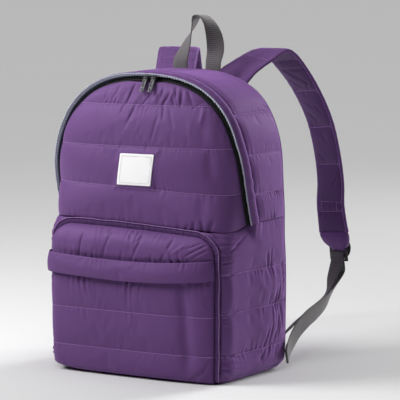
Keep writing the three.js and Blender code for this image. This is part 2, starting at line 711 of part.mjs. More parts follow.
// Flap over the pocket's mouth
const FLAP_CELLS = 4;
const FLAP_ENDS = 0.12;      // angle left free at each end
const FLAP_SEAT = 0.25;      // share of the space behind it that is left at its ends
const flapGrid = spread(-1, 1, FLAP_CELLS).map((up) => spread(Math.PI - FLAP_ENDS, FLAP_ENDS, POCKET_CELLS)
  .map((angle) => {
    const sag = FLAP_SAG * Math.cos(angle) ** 2;
    const z = MOUTH_Z + sag + (up * FLAP_HEIGHT) / 2;
    const point = pocketPoint(Math.min(z, MOUTH_Z), angle);
    const space = FLAP_OFF * lerp(FLAP_SEAT, 1, Math.sin(angle)) + (FLAP_DROOP * (1 - up)) / 2;
    const outward = new THREE.Vector3(Math.cos(angle) ** 3, -Math.abs(Math.sin(angle)), 0).normalize();
    point.addScaledVector(outward, POCKET_PUFF + LINING + space);
    point.z = z;
    return point;
  }));
piece('pocket_flap', wall(flapGrid, (r) => FLAP_PUFF * Math.sin((Math.PI * r) / FLAP_CELLS)), CLOTH);

// Binding along the pocket's seam: up one side, round both corners and down the other
const BINDING_CORNER_CELLS = 6;
const BINDING_SIDE_CELLS = 6;
const BINDING_TOP_CELLS = 8;
const bindingX = POCKET_X + GAP + BINDING_WIDTH / 2;
const bindingTop = POCKET_TOP + GAP + BINDING_WIDTH / 2;
const bindingRadius = POCKET_RADIUS + GAP + BINDING_WIDTH / 2;
const bindingRight = [
  ...spread(POCKET_FOOT, bindingTop - bindingRadius, BINDING_SIDE_CELLS)
    .map((z) => ({ x: bindingX, z, angle: 0 })),
  ...spread(0, Math.PI / 2, BINDING_CORNER_CELLS).slice(1).map((angle) => ({
    x: bindingX - bindingRadius * (1 - Math.cos(angle)),
    z: bindingTop - bindingRadius * (1 - Math.sin(angle)),
    angle,
  })),
];
const bindingTopX = bindingRight[bindingRight.length - 1].x;
const bindingPath = [
  ...bindingRight,
  ...spread(bindingTopX, -bindingTopX, BINDING_TOP_CELLS).slice(1, -1)
    .map((x) => ({ x, z: bindingTop, angle: Math.PI / 2 })),
  ...[...bindingRight].reverse().map((place) => ({ x: -place.x, z: place.z, angle: Math.PI - place.angle })),
];
const ROUNDED_BAND = [[-0.5, 0], [0.5, 0], [0.5, 0.55], [0.25, 1], [-0.25, 1], [-0.5, 0.55]];
const bindingSections = bindingPath.map(({ x, z, angle }) => ROUNDED_BAND.map(([a, b]) => new THREE.Vector3(
  x + Math.cos(angle) * a * BINDING_WIDTH,
  FRONT_Y - GAP - b * BINDING_THICK,
  z + Math.sin(angle) * a * BINDING_WIDTH,
)));
piece('pocket_binding', loft(bindingSections), CLOTH);

// Zip sliders and pulls
const FACETS = 14;

/** A cylinder along X. */
function barAlongX(radius, length) {
  return new THREE.CylinderGeometry(radius, radius, length, FACETS).rotateZ(Math.PI / 2);
}

/** A slider: a body on the tape, with two ears that hold a pin across. */
function sliderGeometry() {
  const tapeSlope = Math.atan2(
    TAPE_FRONT.inset - TAPE_BACK.inset,
    TAPE_BACK.behind - TAPE_FRONT.behind,
  );
  const tapeMiddleZ = TOP_Z - TAPE_FRONT.inset + TAPE_THICK / 2;
  const body = new THREE.BoxGeometry(SLIDER.width, SLIDER.depth, SLIDER.height)
    .translate(0, SLIDER.depth / 2, SLIDER.height / 2 + GAP)
    .rotateX(tapeSlope)
    .translate(0, ZIP_Y + TAPE_FRONT.behind, tapeMiddleZ);
  let slider = toManifold(body);
  const earLength = ZIP_Y + TAPE_FRONT.behind + SLIDER.depth / 2 - PIN.y;
  const earHeight = 2 * KNUCKLE_RADIUS;
  for (const side of [-1, 1]) {
    const ear = new THREE.BoxGeometry(EAR_THICK, earLength, earHeight)
      .translate(side * (SLIDER.width - EAR_THICK) / 2, PIN.y + earLength / 2 - PIN_RADIUS * 2, PIN.z);
    slider = slider.add(toManifold(ear));
  }
  slider = slider.add(toManifold(barAlongX(PIN_RADIUS, SLIDER.width - EAR_THICK).translate(0, PIN.y, PIN.z)));
  return fromManifold(slider);
}

/** A pull: a knuckle round the pin and a flat tongue with a round hole near its end. */
function pullGeometry() {
  const start = Math.asin(PULL.thick / 2 / KNUCKLE_RADIUS);
  const profile = new THREE.Shape();
  profile.absarc(0, 0, KNUCKLE_RADIUS, start, Math.PI * 2 - start, false);
  profile.lineTo(PULL.length, -PULL.thick / 2);
  profile.lineTo(PULL.length, PULL.thick / 2);
  profile.closePath();
  const bore = new THREE.Path();
  bore.absarc(0, 0, KNUCKLE_BORE, 0, Math.PI * 2, true);
  profile.holes.push(bore);
  const extrusion = { depth: PULL.width, bevelEnabled: false, curveSegments: FACETS };
  const tongue = new THREE.ExtrudeGeometry(profile, extrusion).translate(0, 0, -PULL.width / 2);
  const hole = new THREE.CylinderGeometry(PULL.hole, PULL.hole, PULL.thick * 2, FACETS)
    .translate(PULL.holeAt, 0, 0);
  const cut = fromManifold(toManifold(tongue).subtract(toManifold(hole)));
  return cut.rotateY(-Math.PI / 2).rotateX(Math.PI - radians(PULL.tilt));
}

for (const [side, x] of Object.entries(SLIDER_X)) {
  piece(`slider_${side}`, sliderGeometry(), DARK_METAL).position.x = x;
  piece(`pull_${side}`, pullGeometry(), DARK_METAL).position.set(x, PIN.y, PIN.z);
}

// Grab handle
const HANDLE_STEPS = 2;
const handleStations = HANDLE.map(({ x, y, z, twist }) => ({
  point: new THREE.Vector3(x, HANDLE_Y + y, z),
  across: widthDirection(-twist, 0),
  width: WEB_WIDTH,
}));
const handleSections = sweep(handleStations, HANDLE_STEPS, ({ middle, across, out, width }) => (
  bandSection(middle, across, out, width, WEB_THICK)));
piece('grab_handle', loft(handleSections), WEBBING);

// The ladder lock's own directions
const lockAcross = widthDirection(LOCK.turn, 0);
const lockDown = new THREE.Vector3(0, Math.sin(radians(LOCK.lean)), -Math.cos(radians(LOCK.lean)))
  .applyAxisAngle(UP, -radians(LOCK.turn));
const lockOut = lockAcross.clone().cross(lockDown);
const lockOrigin = new THREE.Vector3(LOCK.x, LOCK.y, LOCK.z);

/** A point given by its distance down from the top bar and out from the lock's middle plane. */
function lockPoint(down, out) {
  return lockOrigin.clone().addScaledVector(lockDown, down).addScaledVector(lockOut, out);
}

// Shoulder straps
const STRAP_STEPS = 2;
const STRAP_PROFILE = [[-0.5, 0], [-0.36, 0.8], [0, 1], [0.36, 0.8], [0.5, 0]];
const strapRootY = Math.max(
  backReach(STRAP_ROOT.x, STRAP_ROOT.z - STRAP_EDGE),
  backReach(STRAP_ROOT.x, STRAP_ROOT.z + STRAP_EDGE),
) + GAP / 2;
const strapStations = [
  { ...STRAP_ROOT, y: strapRootY, turn: 0, tilt: 8, width: STRAP[0].width },
  { ...STRAP_ROOT, y: strapRootY + STRAP_ROOT.run, turn: 2, tilt: 8, width: STRAP[0].width },
  ...STRAP,
].map(({ x, y, z, turn, tilt, width }) => ({
  point: new THREE.Vector3(x, y, z),
  across: widthDirection(turn, -tilt),
  width,
}));
const strapSections = sweep(strapStations, STRAP_STEPS, ({ middle, across, out, width, run }) => {
  const full = Math.sqrt(Math.abs(Math.sin((Math.PI * run) / STRAP_ROW)));
  const side = (face) => STRAP_PROFILE.map(([a, b]) => middle.clone()
    .addScaledVector(across, a * width)
    .addScaledVector(out, face * (STRAP_EDGE / 2 + STRAP_PUFF * full * b)));
  return [...side(1), ...side(-1).reverse()];
});

// Ladder lock, its tab and the webbing
/** Outline of a rounded rectangle about a middle height. */
function roundedBox(target, width, low, high, radius) {
  const half = width / 2;
  target.moveTo(-half + radius, low);
  target.lineTo(half - radius, low);
  target.absarc(half - radius, low + radius, radius, -Math.PI / 2, 0, false);
  target.absarc(half - radius, high - radius, radius, 0, Math.PI / 2, false);
  target.absarc(-half + radius, high - radius, radius, Math.PI / 2, Math.PI, false);
  target.absarc(-half + radius, low + radius, radius, Math.PI, Math.PI * 1.5, false);
  return target;
}

/** The lock: a plate with two slots, so three bars are left across it. */
function lockGeometry() {
  const outline = roundedBox(
    new THREE.Shape(), LOCK_WIDTH, -LOCK_BAR / 2, LOCK_PITCH * 2 + LOCK_BAR / 2, LOCK_RADIUS,
  );
  for (const bar of [0, 1]) {
    const low = bar * LOCK_PITCH + LOCK_BAR / 2;
    const high = low + LOCK_PITCH - LOCK_BAR;
    outline.holes.push(roundedBox(new THREE.Path(), LOCK_WIDTH - 2 * LOCK_RAIL, low, high, LOCK_RADIUS / 4));
  }
  const extrusion = { depth: LOCK_DEPTH, bevelEnabled: false, curveSegments: LOCK_CORNER_CELLS };
  const plate = new THREE.ExtrudeGeometry(outline, extrusion).translate(0, 0, -LOCK_DEPTH / 2);
  const turn = new THREE.Matrix4().makeBasis(lockAcross, lockDown, lockOut).setPosition(lockOrigin);
  return plate.applyMatrix4(turn);
}

/** Mirrors a closed geometry to the other side of the pack. */
function mirrorGeometry(geometry) {
  const bare = geometry.clone();
  bare.deleteAttribute('normal');
  bare.deleteAttribute('uv');
  const merged = mergeVertices(bare).scale(-1, 1, 1);
  return faceOut(merged);
}

const TAB_TURN_CELLS = 5;
const strapEnd = strapStations[strapStations.length - 1];
const tabTop = strapEnd.point.clone().addScaledVector(lockDown, TAB_OFF);
const tabFace = [
  { rise: 1, out: TAB_SPREAD, width: TAB_WIDTH.top },
  { rise: TAB_RISE.middle, out: TAB_LOOP.out, width: TAB_WIDTH.middle },
  { rise: TAB_RISE.low, out: TAB_LOOP.out, width: TAB_WIDTH.low },
];
const tabStations = [
  ...tabFace.map(({ rise, out, width }) => ({ rise, down: 0, out, width })),
  ...spread(0, Math.PI, TAB_TURN_CELLS).map((angle) => ({
    rise: 0,
    down: TAB_LOOP.down * Math.sin(angle),
    out: TAB_LOOP.out * Math.cos(angle),
    width: TAB_WIDTH.bar,
  })),
  ...[...tabFace].reverse().map(({ rise, out, width }) => ({ rise, down: 0, out: -out, width })),
].map(({ rise, down, out, width }) => ({
  point: lockOrigin.clone().lerp(tabTop, rise).addScaledVector(lockDown, down).addScaledVector(lockOut, out),
  across: lockAcross.clone().lerp(strapEnd.across, rise).normalize(),
  width,
}));
const tabSections = sweep(tabStations, 1, ({ middle, across, out, width }) => (
  bandSection(middle, across, out, width, TAB_THICK)));

const WEB_STEPS = 2;
const webFootY = backReach(WEB_FOOT.x, WEB_FOOT.z) + GAP;
const freeStation = ({ x, y, z, turn, lift }) => ({
  point: new THREE.Vector3(x, y, z), across: widthDirection(turn, lift), width: WEB_WIDTH,
});
const lockStation = ({ down, out }) => ({
  point: lockPoint(down, out), across: lockAcross, width: WEB_WIDTH,
});
const webStations = [
  freeStation({ ...WEB_FOOT, y: webFootY }),
  freeStation({ ...WEB_FOOT, y: webFootY + WEB_FOOT.run }),
  ...WEB.map(freeStation),
  ...WEB_IN_LOCK.map(lockStation),
  ...WEB_TAIL.map(freeStation),
];
const webFrames = sweep(webStations, WEB_STEPS, (frame) => frame);
const webLength = webFrames[webFrames.length - 1].run;
const webSections = webFrames.map(({ middle, across, out, run }) => {
  const hem = run > webLength - HEM_LENGTH;
  return bandSection(middle, across, out, WEB_WIDTH, hem ? HEM_THICK : WEB_THICK);
});

const sided = { right: (sections) => sections, left: mirrored };
for (const [side, place] of Object.entries(sided)) {
  piece(`strap_${side}`, loft(place(strapSections)), CLOTH);
  piece(`strap_tab_${side}`, loft(place(tabSections)), CLOTH);
  piece(`web_${side}`, loft(place(webSections)), WEBBING);
}
piece('ladder_lock_right', lockGeometry(), MOULDING);
piece('ladder_lock_left', mirrorGeometry(lockGeometry()), MOULDING);

export default pack;
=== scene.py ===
"""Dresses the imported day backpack: padded cloth, zip, webbing, buckles and a plain studio."""

import logging
import math
from dataclasses import dataclass, field, replace
from enum import Enum
from functools import cache
from typing import Callable, NamedTuple, Optional, Sequence

import bpy
import numpy as np
from bpy.types import ID, Material, Node, NodeOutputs, NodeSocket, NodeTree, Object
from mathutils import Matrix, Vector


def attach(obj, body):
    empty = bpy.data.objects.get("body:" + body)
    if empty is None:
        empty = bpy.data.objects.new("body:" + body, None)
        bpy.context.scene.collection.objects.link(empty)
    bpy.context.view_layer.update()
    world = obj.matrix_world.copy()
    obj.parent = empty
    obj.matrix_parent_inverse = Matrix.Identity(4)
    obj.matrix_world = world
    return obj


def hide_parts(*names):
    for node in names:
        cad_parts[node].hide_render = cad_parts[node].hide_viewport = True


Array = np.ndarray
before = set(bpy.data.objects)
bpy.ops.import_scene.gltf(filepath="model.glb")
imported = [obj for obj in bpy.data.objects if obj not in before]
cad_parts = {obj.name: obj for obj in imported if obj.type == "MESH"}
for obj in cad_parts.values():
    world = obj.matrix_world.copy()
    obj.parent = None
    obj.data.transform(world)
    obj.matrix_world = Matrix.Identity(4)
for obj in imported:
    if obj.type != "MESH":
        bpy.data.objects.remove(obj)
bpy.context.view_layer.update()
LOG = logging.getLogger("backpack")
BAG = "bag"
FILL_REACH = 0.027
FILL_POWER = 0.7
MILLIMETRES = 1000.0
TINY = 1e-12


class Slot(Enum):
    """Material slots of the record."""

    CLOTH = "quilted_cloth"
    WEBBING = "webbing"
    ZIP = "zip_tape"
    LABEL = "label_cloth"
    METAL = "dark_metal"
    MOULDING = "moulding"


class Side(Enum):
    """The two sides of the bag, as the sign of X."""

    LEFT = -1
    RIGHT = 1


# Small number helpers
def lerp(a: Array, b: Array, t: Array) -> Array:
    """Mixes two values by a share."""
    return a + (b - a) * t


def unit(v: Array) -> Array:
    """Vectors scaled to length one along the last axis."""
    return v / np.maximum(np.linalg.norm(v, axis=-1, keepdims=True), TINY)


def square_to(v: Array, along: Array) -> Array:
    """Directions turned square to other directions."""
    return unit(v - along * np.sum(v * along, axis=1, keepdims=True))


def ramp(low: float, high: float, x: Array) -> Array:
    """A straight step from 0 at low to 1 at high."""
    return np.clip((x - low) / (high - low), 0.0, 1.0)


def smooth(low: float, high: float, x: Array) -> Array:
    """A smooth step from 0 at low to 1 at high."""
    t = ramp(low, high, x)
    return t * t * (3.0 - 2.0 * t)


def rounded(t: Array) -> Array:
    """How far a quarter circle of radius one has drawn in at a share of its height."""
    return 1.0 - np.sqrt(1.0 - t**2)


def super_radius(angle: Array, power: Array) -> Array:
    """Radius of a unit superellipse at an angle."""
    return (np.abs(np.cos(angle)) ** power + np.abs(np.sin(angle)) ** power) ** (-1.0 / power)


def channel_rows(limits: Sequence[float], cells: Sequence[int]) -> Array:
    """Heights with a fixed number of cells in each channel between two limits."""
    parts = [np.linspace(a, b, n + 1)[:-1] for a, b, n in zip(limits, limits[1:], cells)]
    return np.concatenate([*parts, [limits[-1]]])


def closing_rows(limits: Sequence[float], cells: Sequence[int], top_cells: int, power: float) -> Array:
    """Channel rows, with rows above them that close up towards the last limit.

    Args:
        limits: Heights between the channels, the last one at the top.
        cells: Cells in each channel below the top one.
        top_cells: Cells in the top channel.
        power: How much its rows close up.

    Returns:
        The heights in order.
    """
    ease = np.linspace(1.0, 0.0, top_cells + 1)[1:]
    top = limits[-1] - (limits[-1] - limits[-2]) * ease**power
    return np.concatenate([channel_rows(limits[:-1], cells), top])


def fullness(x: Array, limits: Sequence[float]) -> Array:
    """Filling at a place: none on a row of stitching, full between two rows or a reach away.

    Args:
        x: Places across the rows.
        limits: Places of the rows.

    Returns:
        The filling, from 0 to 1.
    """
    edges = np.asarray(limits)
    at = np.clip(np.searchsorted(edges, x, side="right") - 1, 0, len(edges) - 2)
    half = np.minimum((edges[at + 1] - edges[at]) / 2, FILL_REACH)
    share = np.clip(np.minimum(x - edges[at], edges[at + 1] - x) / half, 0.0, 1.0)
    return np.sin(np.pi / 2 * share) ** FILL_POWER


def run_length(line: Array) -> Array:
    """Distance from the start along a line of points."""
    return np.concatenate([[0.0], np.cumsum(np.linalg.norm(np.diff(line, axis=0), axis=1))])


def at_run(values: Array, run: Array, at: Array) -> Array:
    """Values along a run, read at other places of it."""
    return np.stack([np.interp(at, run, values[:, k]) for k in range(values.shape[1])], axis=1)


def even_steps(line: Array, count: int) -> Array:
    """A number of points at equal steps along a line, both ends included."""
    run = run_length(line)
    return at_run(line, run, np.linspace(0.0, run[-1], count))


def grid_normals(grid: Array, wrap: bool = False) -> Array:
    """Outward directions of a grid whose columns cross its rows outward.

    Args:
        grid: Rows by columns of points.
        wrap: True if the last column joins the first.

    Returns:
        Unit vectors, one for each point.
    """
    if wrap:
        across = np.roll(grid, -1, axis=1) - np.roll(grid, 1, axis=1)
    else:
        across = np.gradient(grid, axis=1)
    return unit(np.cross(across, np.gradient(grid, axis=0)))


def with_ends(values: Array) -> Array:
    """Values with one more at each end, in a straight line with the last two."""
    return np.concatenate([[2 * values[0] - values[1]], values, [2 * values[-1] - values[-2]]])


def midpoints(values: Array, wrap: bool) -> Array:
    """Doubles the places along the first axis with smooth steps between them.

    Args:
        values: The values in order.
        wrap: True if the last joins the first.

    Returns:
        The values with new ones between them.
    """
    if wrap:
        a, b, c, d = (np.roll(values, k, axis=0) for k in (1, 0, -1, -2))
    else:
        ends = with_ends(values)
        a, b, c, d = ends[:-3], ends[1:-2], ends[2:-1], ends[3:]
    between = (9 * (b + c) - a - d) / 16
    out = np.empty((len(values) + len(between), *values.shape[1:]))
    out[::2] = values
    out[1::2] = between
    return out


def finer(grid: Array, wrap: bool) -> Array:
    """A grid with twice as many cells each way."""
    return np.swapaxes(midpoints(np.swapaxes(midpoints(grid, False), 0, 1), wrap), 0, 1)


def pinned(shape: tuple, rows: Sequence[int], columns: Sequence[int]) -> Array:
    """A grid of marks: 1 on the rows and columns that are sewn down, 0 elsewhere.

    Args:
        shape: Rows and columns of the grid.
        rows: Rows that are sewn down.
        columns: Columns that are sewn down.

    Returns:
        The marks.
    """
    sewn = np.zeros(shape)
    sewn[list(rows)] = 1.0
    sewn[:, list(columns)] = 1.0
    return sewn


# The bag's shape
@dataclass(frozen=True)
class Outline:
    """The bag's sewn outline in metres: arch, zip line, back seam and lower corners."""

    half_width: float = 0.149
    top: float = 0.418
    arch: float = 0.262
    power: float = 2.5
    seam: float = 0.216
    gap: float = 0.0004
    front_y: float = -0.077
    front_rise: float = 0.030
    front_rise_power: float = 2.8
    zip_y: float = -0.040
    zip_sweep: float = 0.030
    zip_sweep_z: float = 0.330
    zip_sweep_power: float = 1.2
    back_y: float = 0.079
    back_lean: float = 0.013
    back_lean_power: float = 1.5
    back_crown: float = 0.004
    corner_x: float = 0.136
    corner_sweep: float = 0.057
    back_inset: float = 0.0005
    floor_radius: float = 0.014
    floor_lift: float = 0.004
    floor_run: float = 0.010
    shoulder: float = 0.184
    panel_inset: float = 0.0095
    panel_behind: float = -0.0047
    foot_square: float = 5.0
    top_square: float = 2.25
    square_z: float = 0.285
    square_power: float = 0.6
    tight_corner: float = 0.014
    flare: float = 0.0045
    pinch: float = 0.004
    pinch_z: tuple = (0.285, 0.345)
    lip_end: float = 0.0150
    section_steps: int = 361
    arch_steps: int = 721
    place_steps: int = 2401

    def half(self, z: Array, inset: float = 0.0) -> Array:
        """Half width of the upper outline at a height."""
        share = ramp(self.arch, self.top - inset, z)
        return (self.half_width - inset) * (1.0 - share**self.power) ** (1.0 / self.power)

    def spread(self, share: Array, z: Array) -> Array:
        """Widening of the upper half between the zip and the back.

        Args:
            share: Share of the way from the zip to the back.
            z: The height.

        Returns:
            Factor on the half width.
        """
        low, high = self.pinch_z
        narrow = self.pinch * smooth(self.seam, low, z) * smooth(self.top, high, z)
        return 1.0 + lerp(self.flare, -narrow, share) / self.half_width

    def zip_line(self, z: Array) -> Array:
        """Depth of the zip at a height."""
        return self.zip_y + self.zip_sweep * ramp(self.zip_sweep_z, self.seam, z) ** self.zip_sweep_power

    def back_line(self, z: Array) -> Array:
        """Depth of the back seam at a height."""
        return self.back_y + self.back_lean * ramp(0.0, self.top, z) ** self.back_lean_power

    def front_top(self) -> float:
        """Top of the upper front panel."""
        return self.top - self.panel_inset

    def front_edge(self, z: Array) -> Array:
        """Depth of the front panel's edge beside the zip."""
        return self.zip_line(z) + self.panel_behind

    def front_half(self, z: Array) -> Array:
        """Half width of the front panel at a height."""
        return self.half(z, self.panel_inset) * self.spread(0.0, z)

    def front_line(self, z: Array) -> Array:
        """Depth of the middle of the front panel."""
        return self.front_y + self.front_rise * ramp(self.seam, self.front_top(), z) ** self.front_rise_power

    def front_section(self, z: float, count: int) -> Array:
        """Points across the front panel at a height.

        Args:
            z: The height.
            count: How many points come back.

        Returns:
            The points from left to right.
        """
        angle = np.linspace(np.pi, 0.0, self.section_steps)
        squareness = smooth(self.seam, self.square_z, z) ** self.square_power
        radius = super_radius(angle, lerp(self.foot_square, self.top_square, squareness))
        edge = self.front_edge(z)
        x = self.front_half(z) * radius * np.cos(angle)
        y = edge + (self.front_line(z) - edge) * radius * np.sin(angle)
        return even_steps(np.stack([x, y, np.full_like(x, z)], axis=1), count)

    def arch_line(self, inset: float, count: int) -> Array:
        """X and Z along the upper outline.

        Args:
            inset: Distance inside the outline.
            count: How many places come back.

        Returns:
            The places from the left seam over the top to the right seam.
        """
        angle = np.linspace(np.pi, 0.0, self.arch_steps)
        radius = super_radius(angle, self.power)
        x = (self.half_width - inset) * radius * np.cos(angle)
        z = self.arch + (self.top - inset - self.arch) * radius * np.sin(angle)
        foot = self.seam + self.gap
        line = np.concatenate([[[x[0], foot]], np.stack([x, z], axis=1), [[x[-1], foot]]])
        return even_steps(line, count)

    def arch_places(self, rows: Sequence[float], cells: Sequence[int], arch_cells: int) -> tuple:
        """X and Z along the upper outline with places exactly on the side rows.

        Args:
            rows: Heights of the side rows.
            cells: Cells below each row.
            arch_cells: Cells over the top, between the highest rows.

        Returns:
            The places and the numbers of those on a row.
        """
        line = self.arch_line(0.0, self.place_steps)
        run = run_length(line)
        rise = self.place_steps // 2 + 1
        up = np.interp(rows, line[:rise, 1], run[:rise])
        limits = [0.0, *up, *(run[-1] - up[::-1]), run[-1]]
        steps = [*cells, arch_cells, *reversed(cells)]
        return at_run(line, run, channel_rows(limits, steps)), np.cumsum(steps)[:-1]

    def low_half(self, y: Array) -> Array:
        """Half width of the lower half at a depth.

        Args:
            y: The depth.

        Returns:
            The half width.
        """
        ahead = ramp(self.front_y + self.corner_sweep, self.front_y, y)
        behind = ramp(self.back_y - self.corner_sweep, self.back_y, y)
        return lerp(self.corner_x, self.half_width, np.sqrt(1.0 - ahead**2)) - self.back_inset * behind**2

    def meet_half(self, y: Array) -> Array:
        """Half width where the upper and lower halves meet.

        Args:
            y: The depth.

        Returns:
            The half width at that depth.
        """
        edge = float(self.front_edge(self.seam))
        behind = self.half_width - self.panel_inset * (1.0 - ramp(edge, edge + self.panel_inset, y))
        share = ramp(edge, self.front_y, y)
        power = self.foot_square
        ahead = (self.half_width - self.panel_inset) * (1.0 - share**power) ** (1.0 / power)
        start = self.zip_line(self.seam) + self.lip_end
        back = ramp(start, self.back_line(self.seam), y)
        half = np.where(y >= edge, behind, ahead) * self.spread(back, self.seam)
        return np.maximum(half, self.corner_x - self.tight_corner)

    def floor(self, y: Array) -> Array:
        """Height of the floor at a depth; it lifts to the front and back seams.

        Args:
            y: The depth.

        Returns:
            The height.
        """
        ahead = ramp(self.front_y + self.floor_run, self.front_y, y)
        behind = ramp(self.back_y - self.floor_run, self.back_y, y)
        return self.floor_lift * np.maximum(ahead, behind) ** 2

    def corner_half(self, y: Array, z: Array) -> Array:
        """Half width near the floor, where the corner rounds in."""
        floor = self.floor(y)
        return self.low_half(y) - self.floor_radius * rounded(ramp(floor + self.floor_radius, floor, z))

    def draw_in(self, z: Array) -> Array:
        """How far the lower half has drawn in to the upper half at a height."""
        return ramp(self.shoulder, self.seam, z)

    def back_half(self, z: Array) -> Array:
        """Half width of the back panel at a height."""
        upper = self.half(z) * self.spread(1.0, z)
        return lerp(self.corner_half(np.float64(self.back_y), z), upper, self.draw_in(z))


# How the filled bag has settled
@dataclass(frozen=True)
class Lobe:
    """A soft shift of the cloth round a place, in metres."""

    middle: tuple
    reach: tuple
    shift: tuple
    power: tuple = (4, 4, 4)


@dataclass(frozen=True)
class Slump:
    """How the filled bag has settled out of its sewn outline."""

    lobes: tuple = (
        Lobe((0.17, -0.075, 0.235), (0.15, 0.058, 0.050), (0.0, 0.0, -0.0105), (2, 4, 4)),
        Lobe((-0.17, -0.010, 0.262), (0.050, 0.034, 0.062), (-0.005, -0.006, 0.0)),
        Lobe((0.0, -0.09, 0.09), (0.25, 0.035, 0.125), (0.0035, 0.0, 0.0)),
        Lobe((-0.125, -0.099, 0.10), (0.020, 0.013, 0.12), (-0.004, 0.0, 0.0)),
        Lobe((-0.135, -0.09, 0.0), (0.034, 0.05, 0.018), (0.003, 0.0, 0.005), (2, 4, 2)),
        Lobe((0.150, 0.055, 0.085), (0.040, 0.060, 0.095), (0.0045, 0.001, 0.0), (2, 4, 4)),
    )

    def settle(self, points: Array) -> Array:
        """Points moved to where the cloth has settled.

        Args:
            points: Points on the sewn outline.

        Returns:
            The moved points.
        """
        moved = np.array(points, float)
        for lobe in self.lobes:
            away = np.abs((np.asarray(points) - lobe.middle) / lobe.reach) ** lobe.power
            moved += np.exp(-np.sum(away, axis=-1, keepdims=True)) * lobe.shift
        return moved


SLUMP = Slump()


# Meshes
def add_object(name: str, data: ID) -> Object:
    """A new object in the scene.

    Args:
        name: Its name.
        data: Its mesh, light or camera.

    Returns:
        The object.
    """
    obj = bpy.data.objects.new(name, data)
    bpy.context.scene.collection.objects.link(obj)
    return obj


def mesh_object(name: str, points: Array, faces: Sequence[Sequence[int]]) -> Object:
    """A smooth-shaded mesh object from points and faces.

    Args:
        name: Piece name.
        points: Points in metres.
        faces: Corner numbers of each face.

    Returns:
        The new object.
    """
    mesh = bpy.data.meshes.new(name)
    mesh.from_pydata(np.asarray(points, float).reshape(-1, 3).tolist(), [], [list(f) for f in faces])
    mesh.polygons.foreach_set("use_smooth", np.ones(len(mesh.polygons), bool))
    mesh.update()
    return add_object(name, mesh)


def grid_faces(rows: int, columns: int, wrap: bool) -> list:
    """Corner numbers of a grid's faces; a wrapped grid is a tube with closed ends.

    Args:
        rows: Rows of points.
        columns: Columns of points.
        wrap: True if the last column joins the first.

    Returns:
        The faces.
    """
    r, c = np.meshgrid(np.arange(rows - 1), np.arange(columns if wrap else columns - 1), indexing="ij")
    n = (c + 1) % columns
    corners = [r * columns + c, r * columns + n, (r + 1) * columns + n, (r + 1) * columns + c]
    faces = np.stack(corners, axis=-1).reshape(-1, 4).tolist()
    if wrap:
        last = (rows - 1) * columns
        faces += [list(range(columns))[::-1], list(range(last, last + columns))]
    return faces


def repeated(faces: Sequence[Sequence[int]], corners: int, count: int) -> list:
    """The faces of a small shape, once for each of its copies."""
    return [[v + corners * i for v in face] for i in range(count) for face in faces]


def grid_object(name: str, grid: Array, wrap: bool = False) -> Object:
    """A piece on a grid of points, with a UV map in metres along its cloth.

    Args:
        name: Piece name.
        grid: Rows by columns of points, columns crossing rows outward.
        wrap: True if the last column joins the first.

    Returns:
        The new object.
    """
    rows, columns = grid.shape[:2]
    obj = mesh_object(name, grid, grid_faces(rows, columns, wrap))
    loop = np.concatenate([grid, grid[:, :1]], axis=1) if wrap else grid
    across = np.stack([run_length(row) for row in loop])
    across -= across[:, [across.shape[1] // 2]]
    along = np.stack([run_length(loop[:, c]) for c in range(loop.shape[1])], axis=1)
    layer = obj.data.uv_layers.new(name="cloth")
    uv = np.zeros((len(obj.data.loops), 2))
    for polygon in obj.data.polygons:
        corners = list(polygon.vertices)
        places = [v % columns for v in corners]
        turn = wrap and len(corners) == 4 and max(places) == columns - 1 and min(places) == 0
        for index, v, place in zip(polygon.loop_indices, corners, places):
            column = columns if turn and place == 0 else place
            uv[index] = across[v // columns, column], along[v // columns, column]
    layer.data.foreach_set("uv", uv.ravel())
    return obj


def evaluated_points(obj: Object) -> Array:
    """Points of an object with its modifiers, in metres.

    Args:
        obj: The object.

    Returns:
        One row for each point.
    """
    mesh = obj.evaluated_get(bpy.context.evaluated_depsgraph_get()).data
    points = np.zeros(len(mesh.vertices) * 3)
    mesh.vertices.foreach_get("co", points)
    return points.reshape(-1, 3)


def soften(obj: Object, levels: int) -> None:
    """Smooths a cloth piece by subdivision."""
    soft = obj.modifiers.new("smooth_cloth", "SUBSURF")
    soft.levels = soft.render_levels = levels


def thicken(obj: Object, thick: float, offset: float = -1.0) -> None:
    """Gives a cloth sheet its thickness.

    Args:
        obj: The sheet.
        thick: Its thickness.
        offset: -1 for all of it inside, 0 for half on each side.
    """
    wall = obj.modifiers.new("wall", "SOLIDIFY")
    wall.thickness = thick
    wall.offset = offset


def faces_inward(obj: Object) -> bool:
    """True if a closed mesh's faces point inward."""
    middle = sum((v.co for v in obj.data.vertices), Vector()) / len(obj.data.vertices)
    return sum((p.center - middle).dot(p.normal) * p.area for p in obj.data.polygons) < 0.0


def mirrored(grid: Array, side: Side) -> Array:
    """A right-hand grid on either side of the bag, still facing outward."""
    return (grid * (-1.0, 1.0, 1.0))[:, ::-1].copy() if side is Side.LEFT else grid


# Bench: operators used as by hand
class Block(NamedTuple):
    """A block with rounded edges: size, middle, edge radius and steps round each edge."""

    size: tuple
    place: tuple
    bevel: float
    segments: int = 2


class Bar(NamedTuple):
    """A round bar: radius, length, middle and axis."""

    radius: float
    length: float
    place: tuple = (0, 0, 0)
    axis: str = "X"


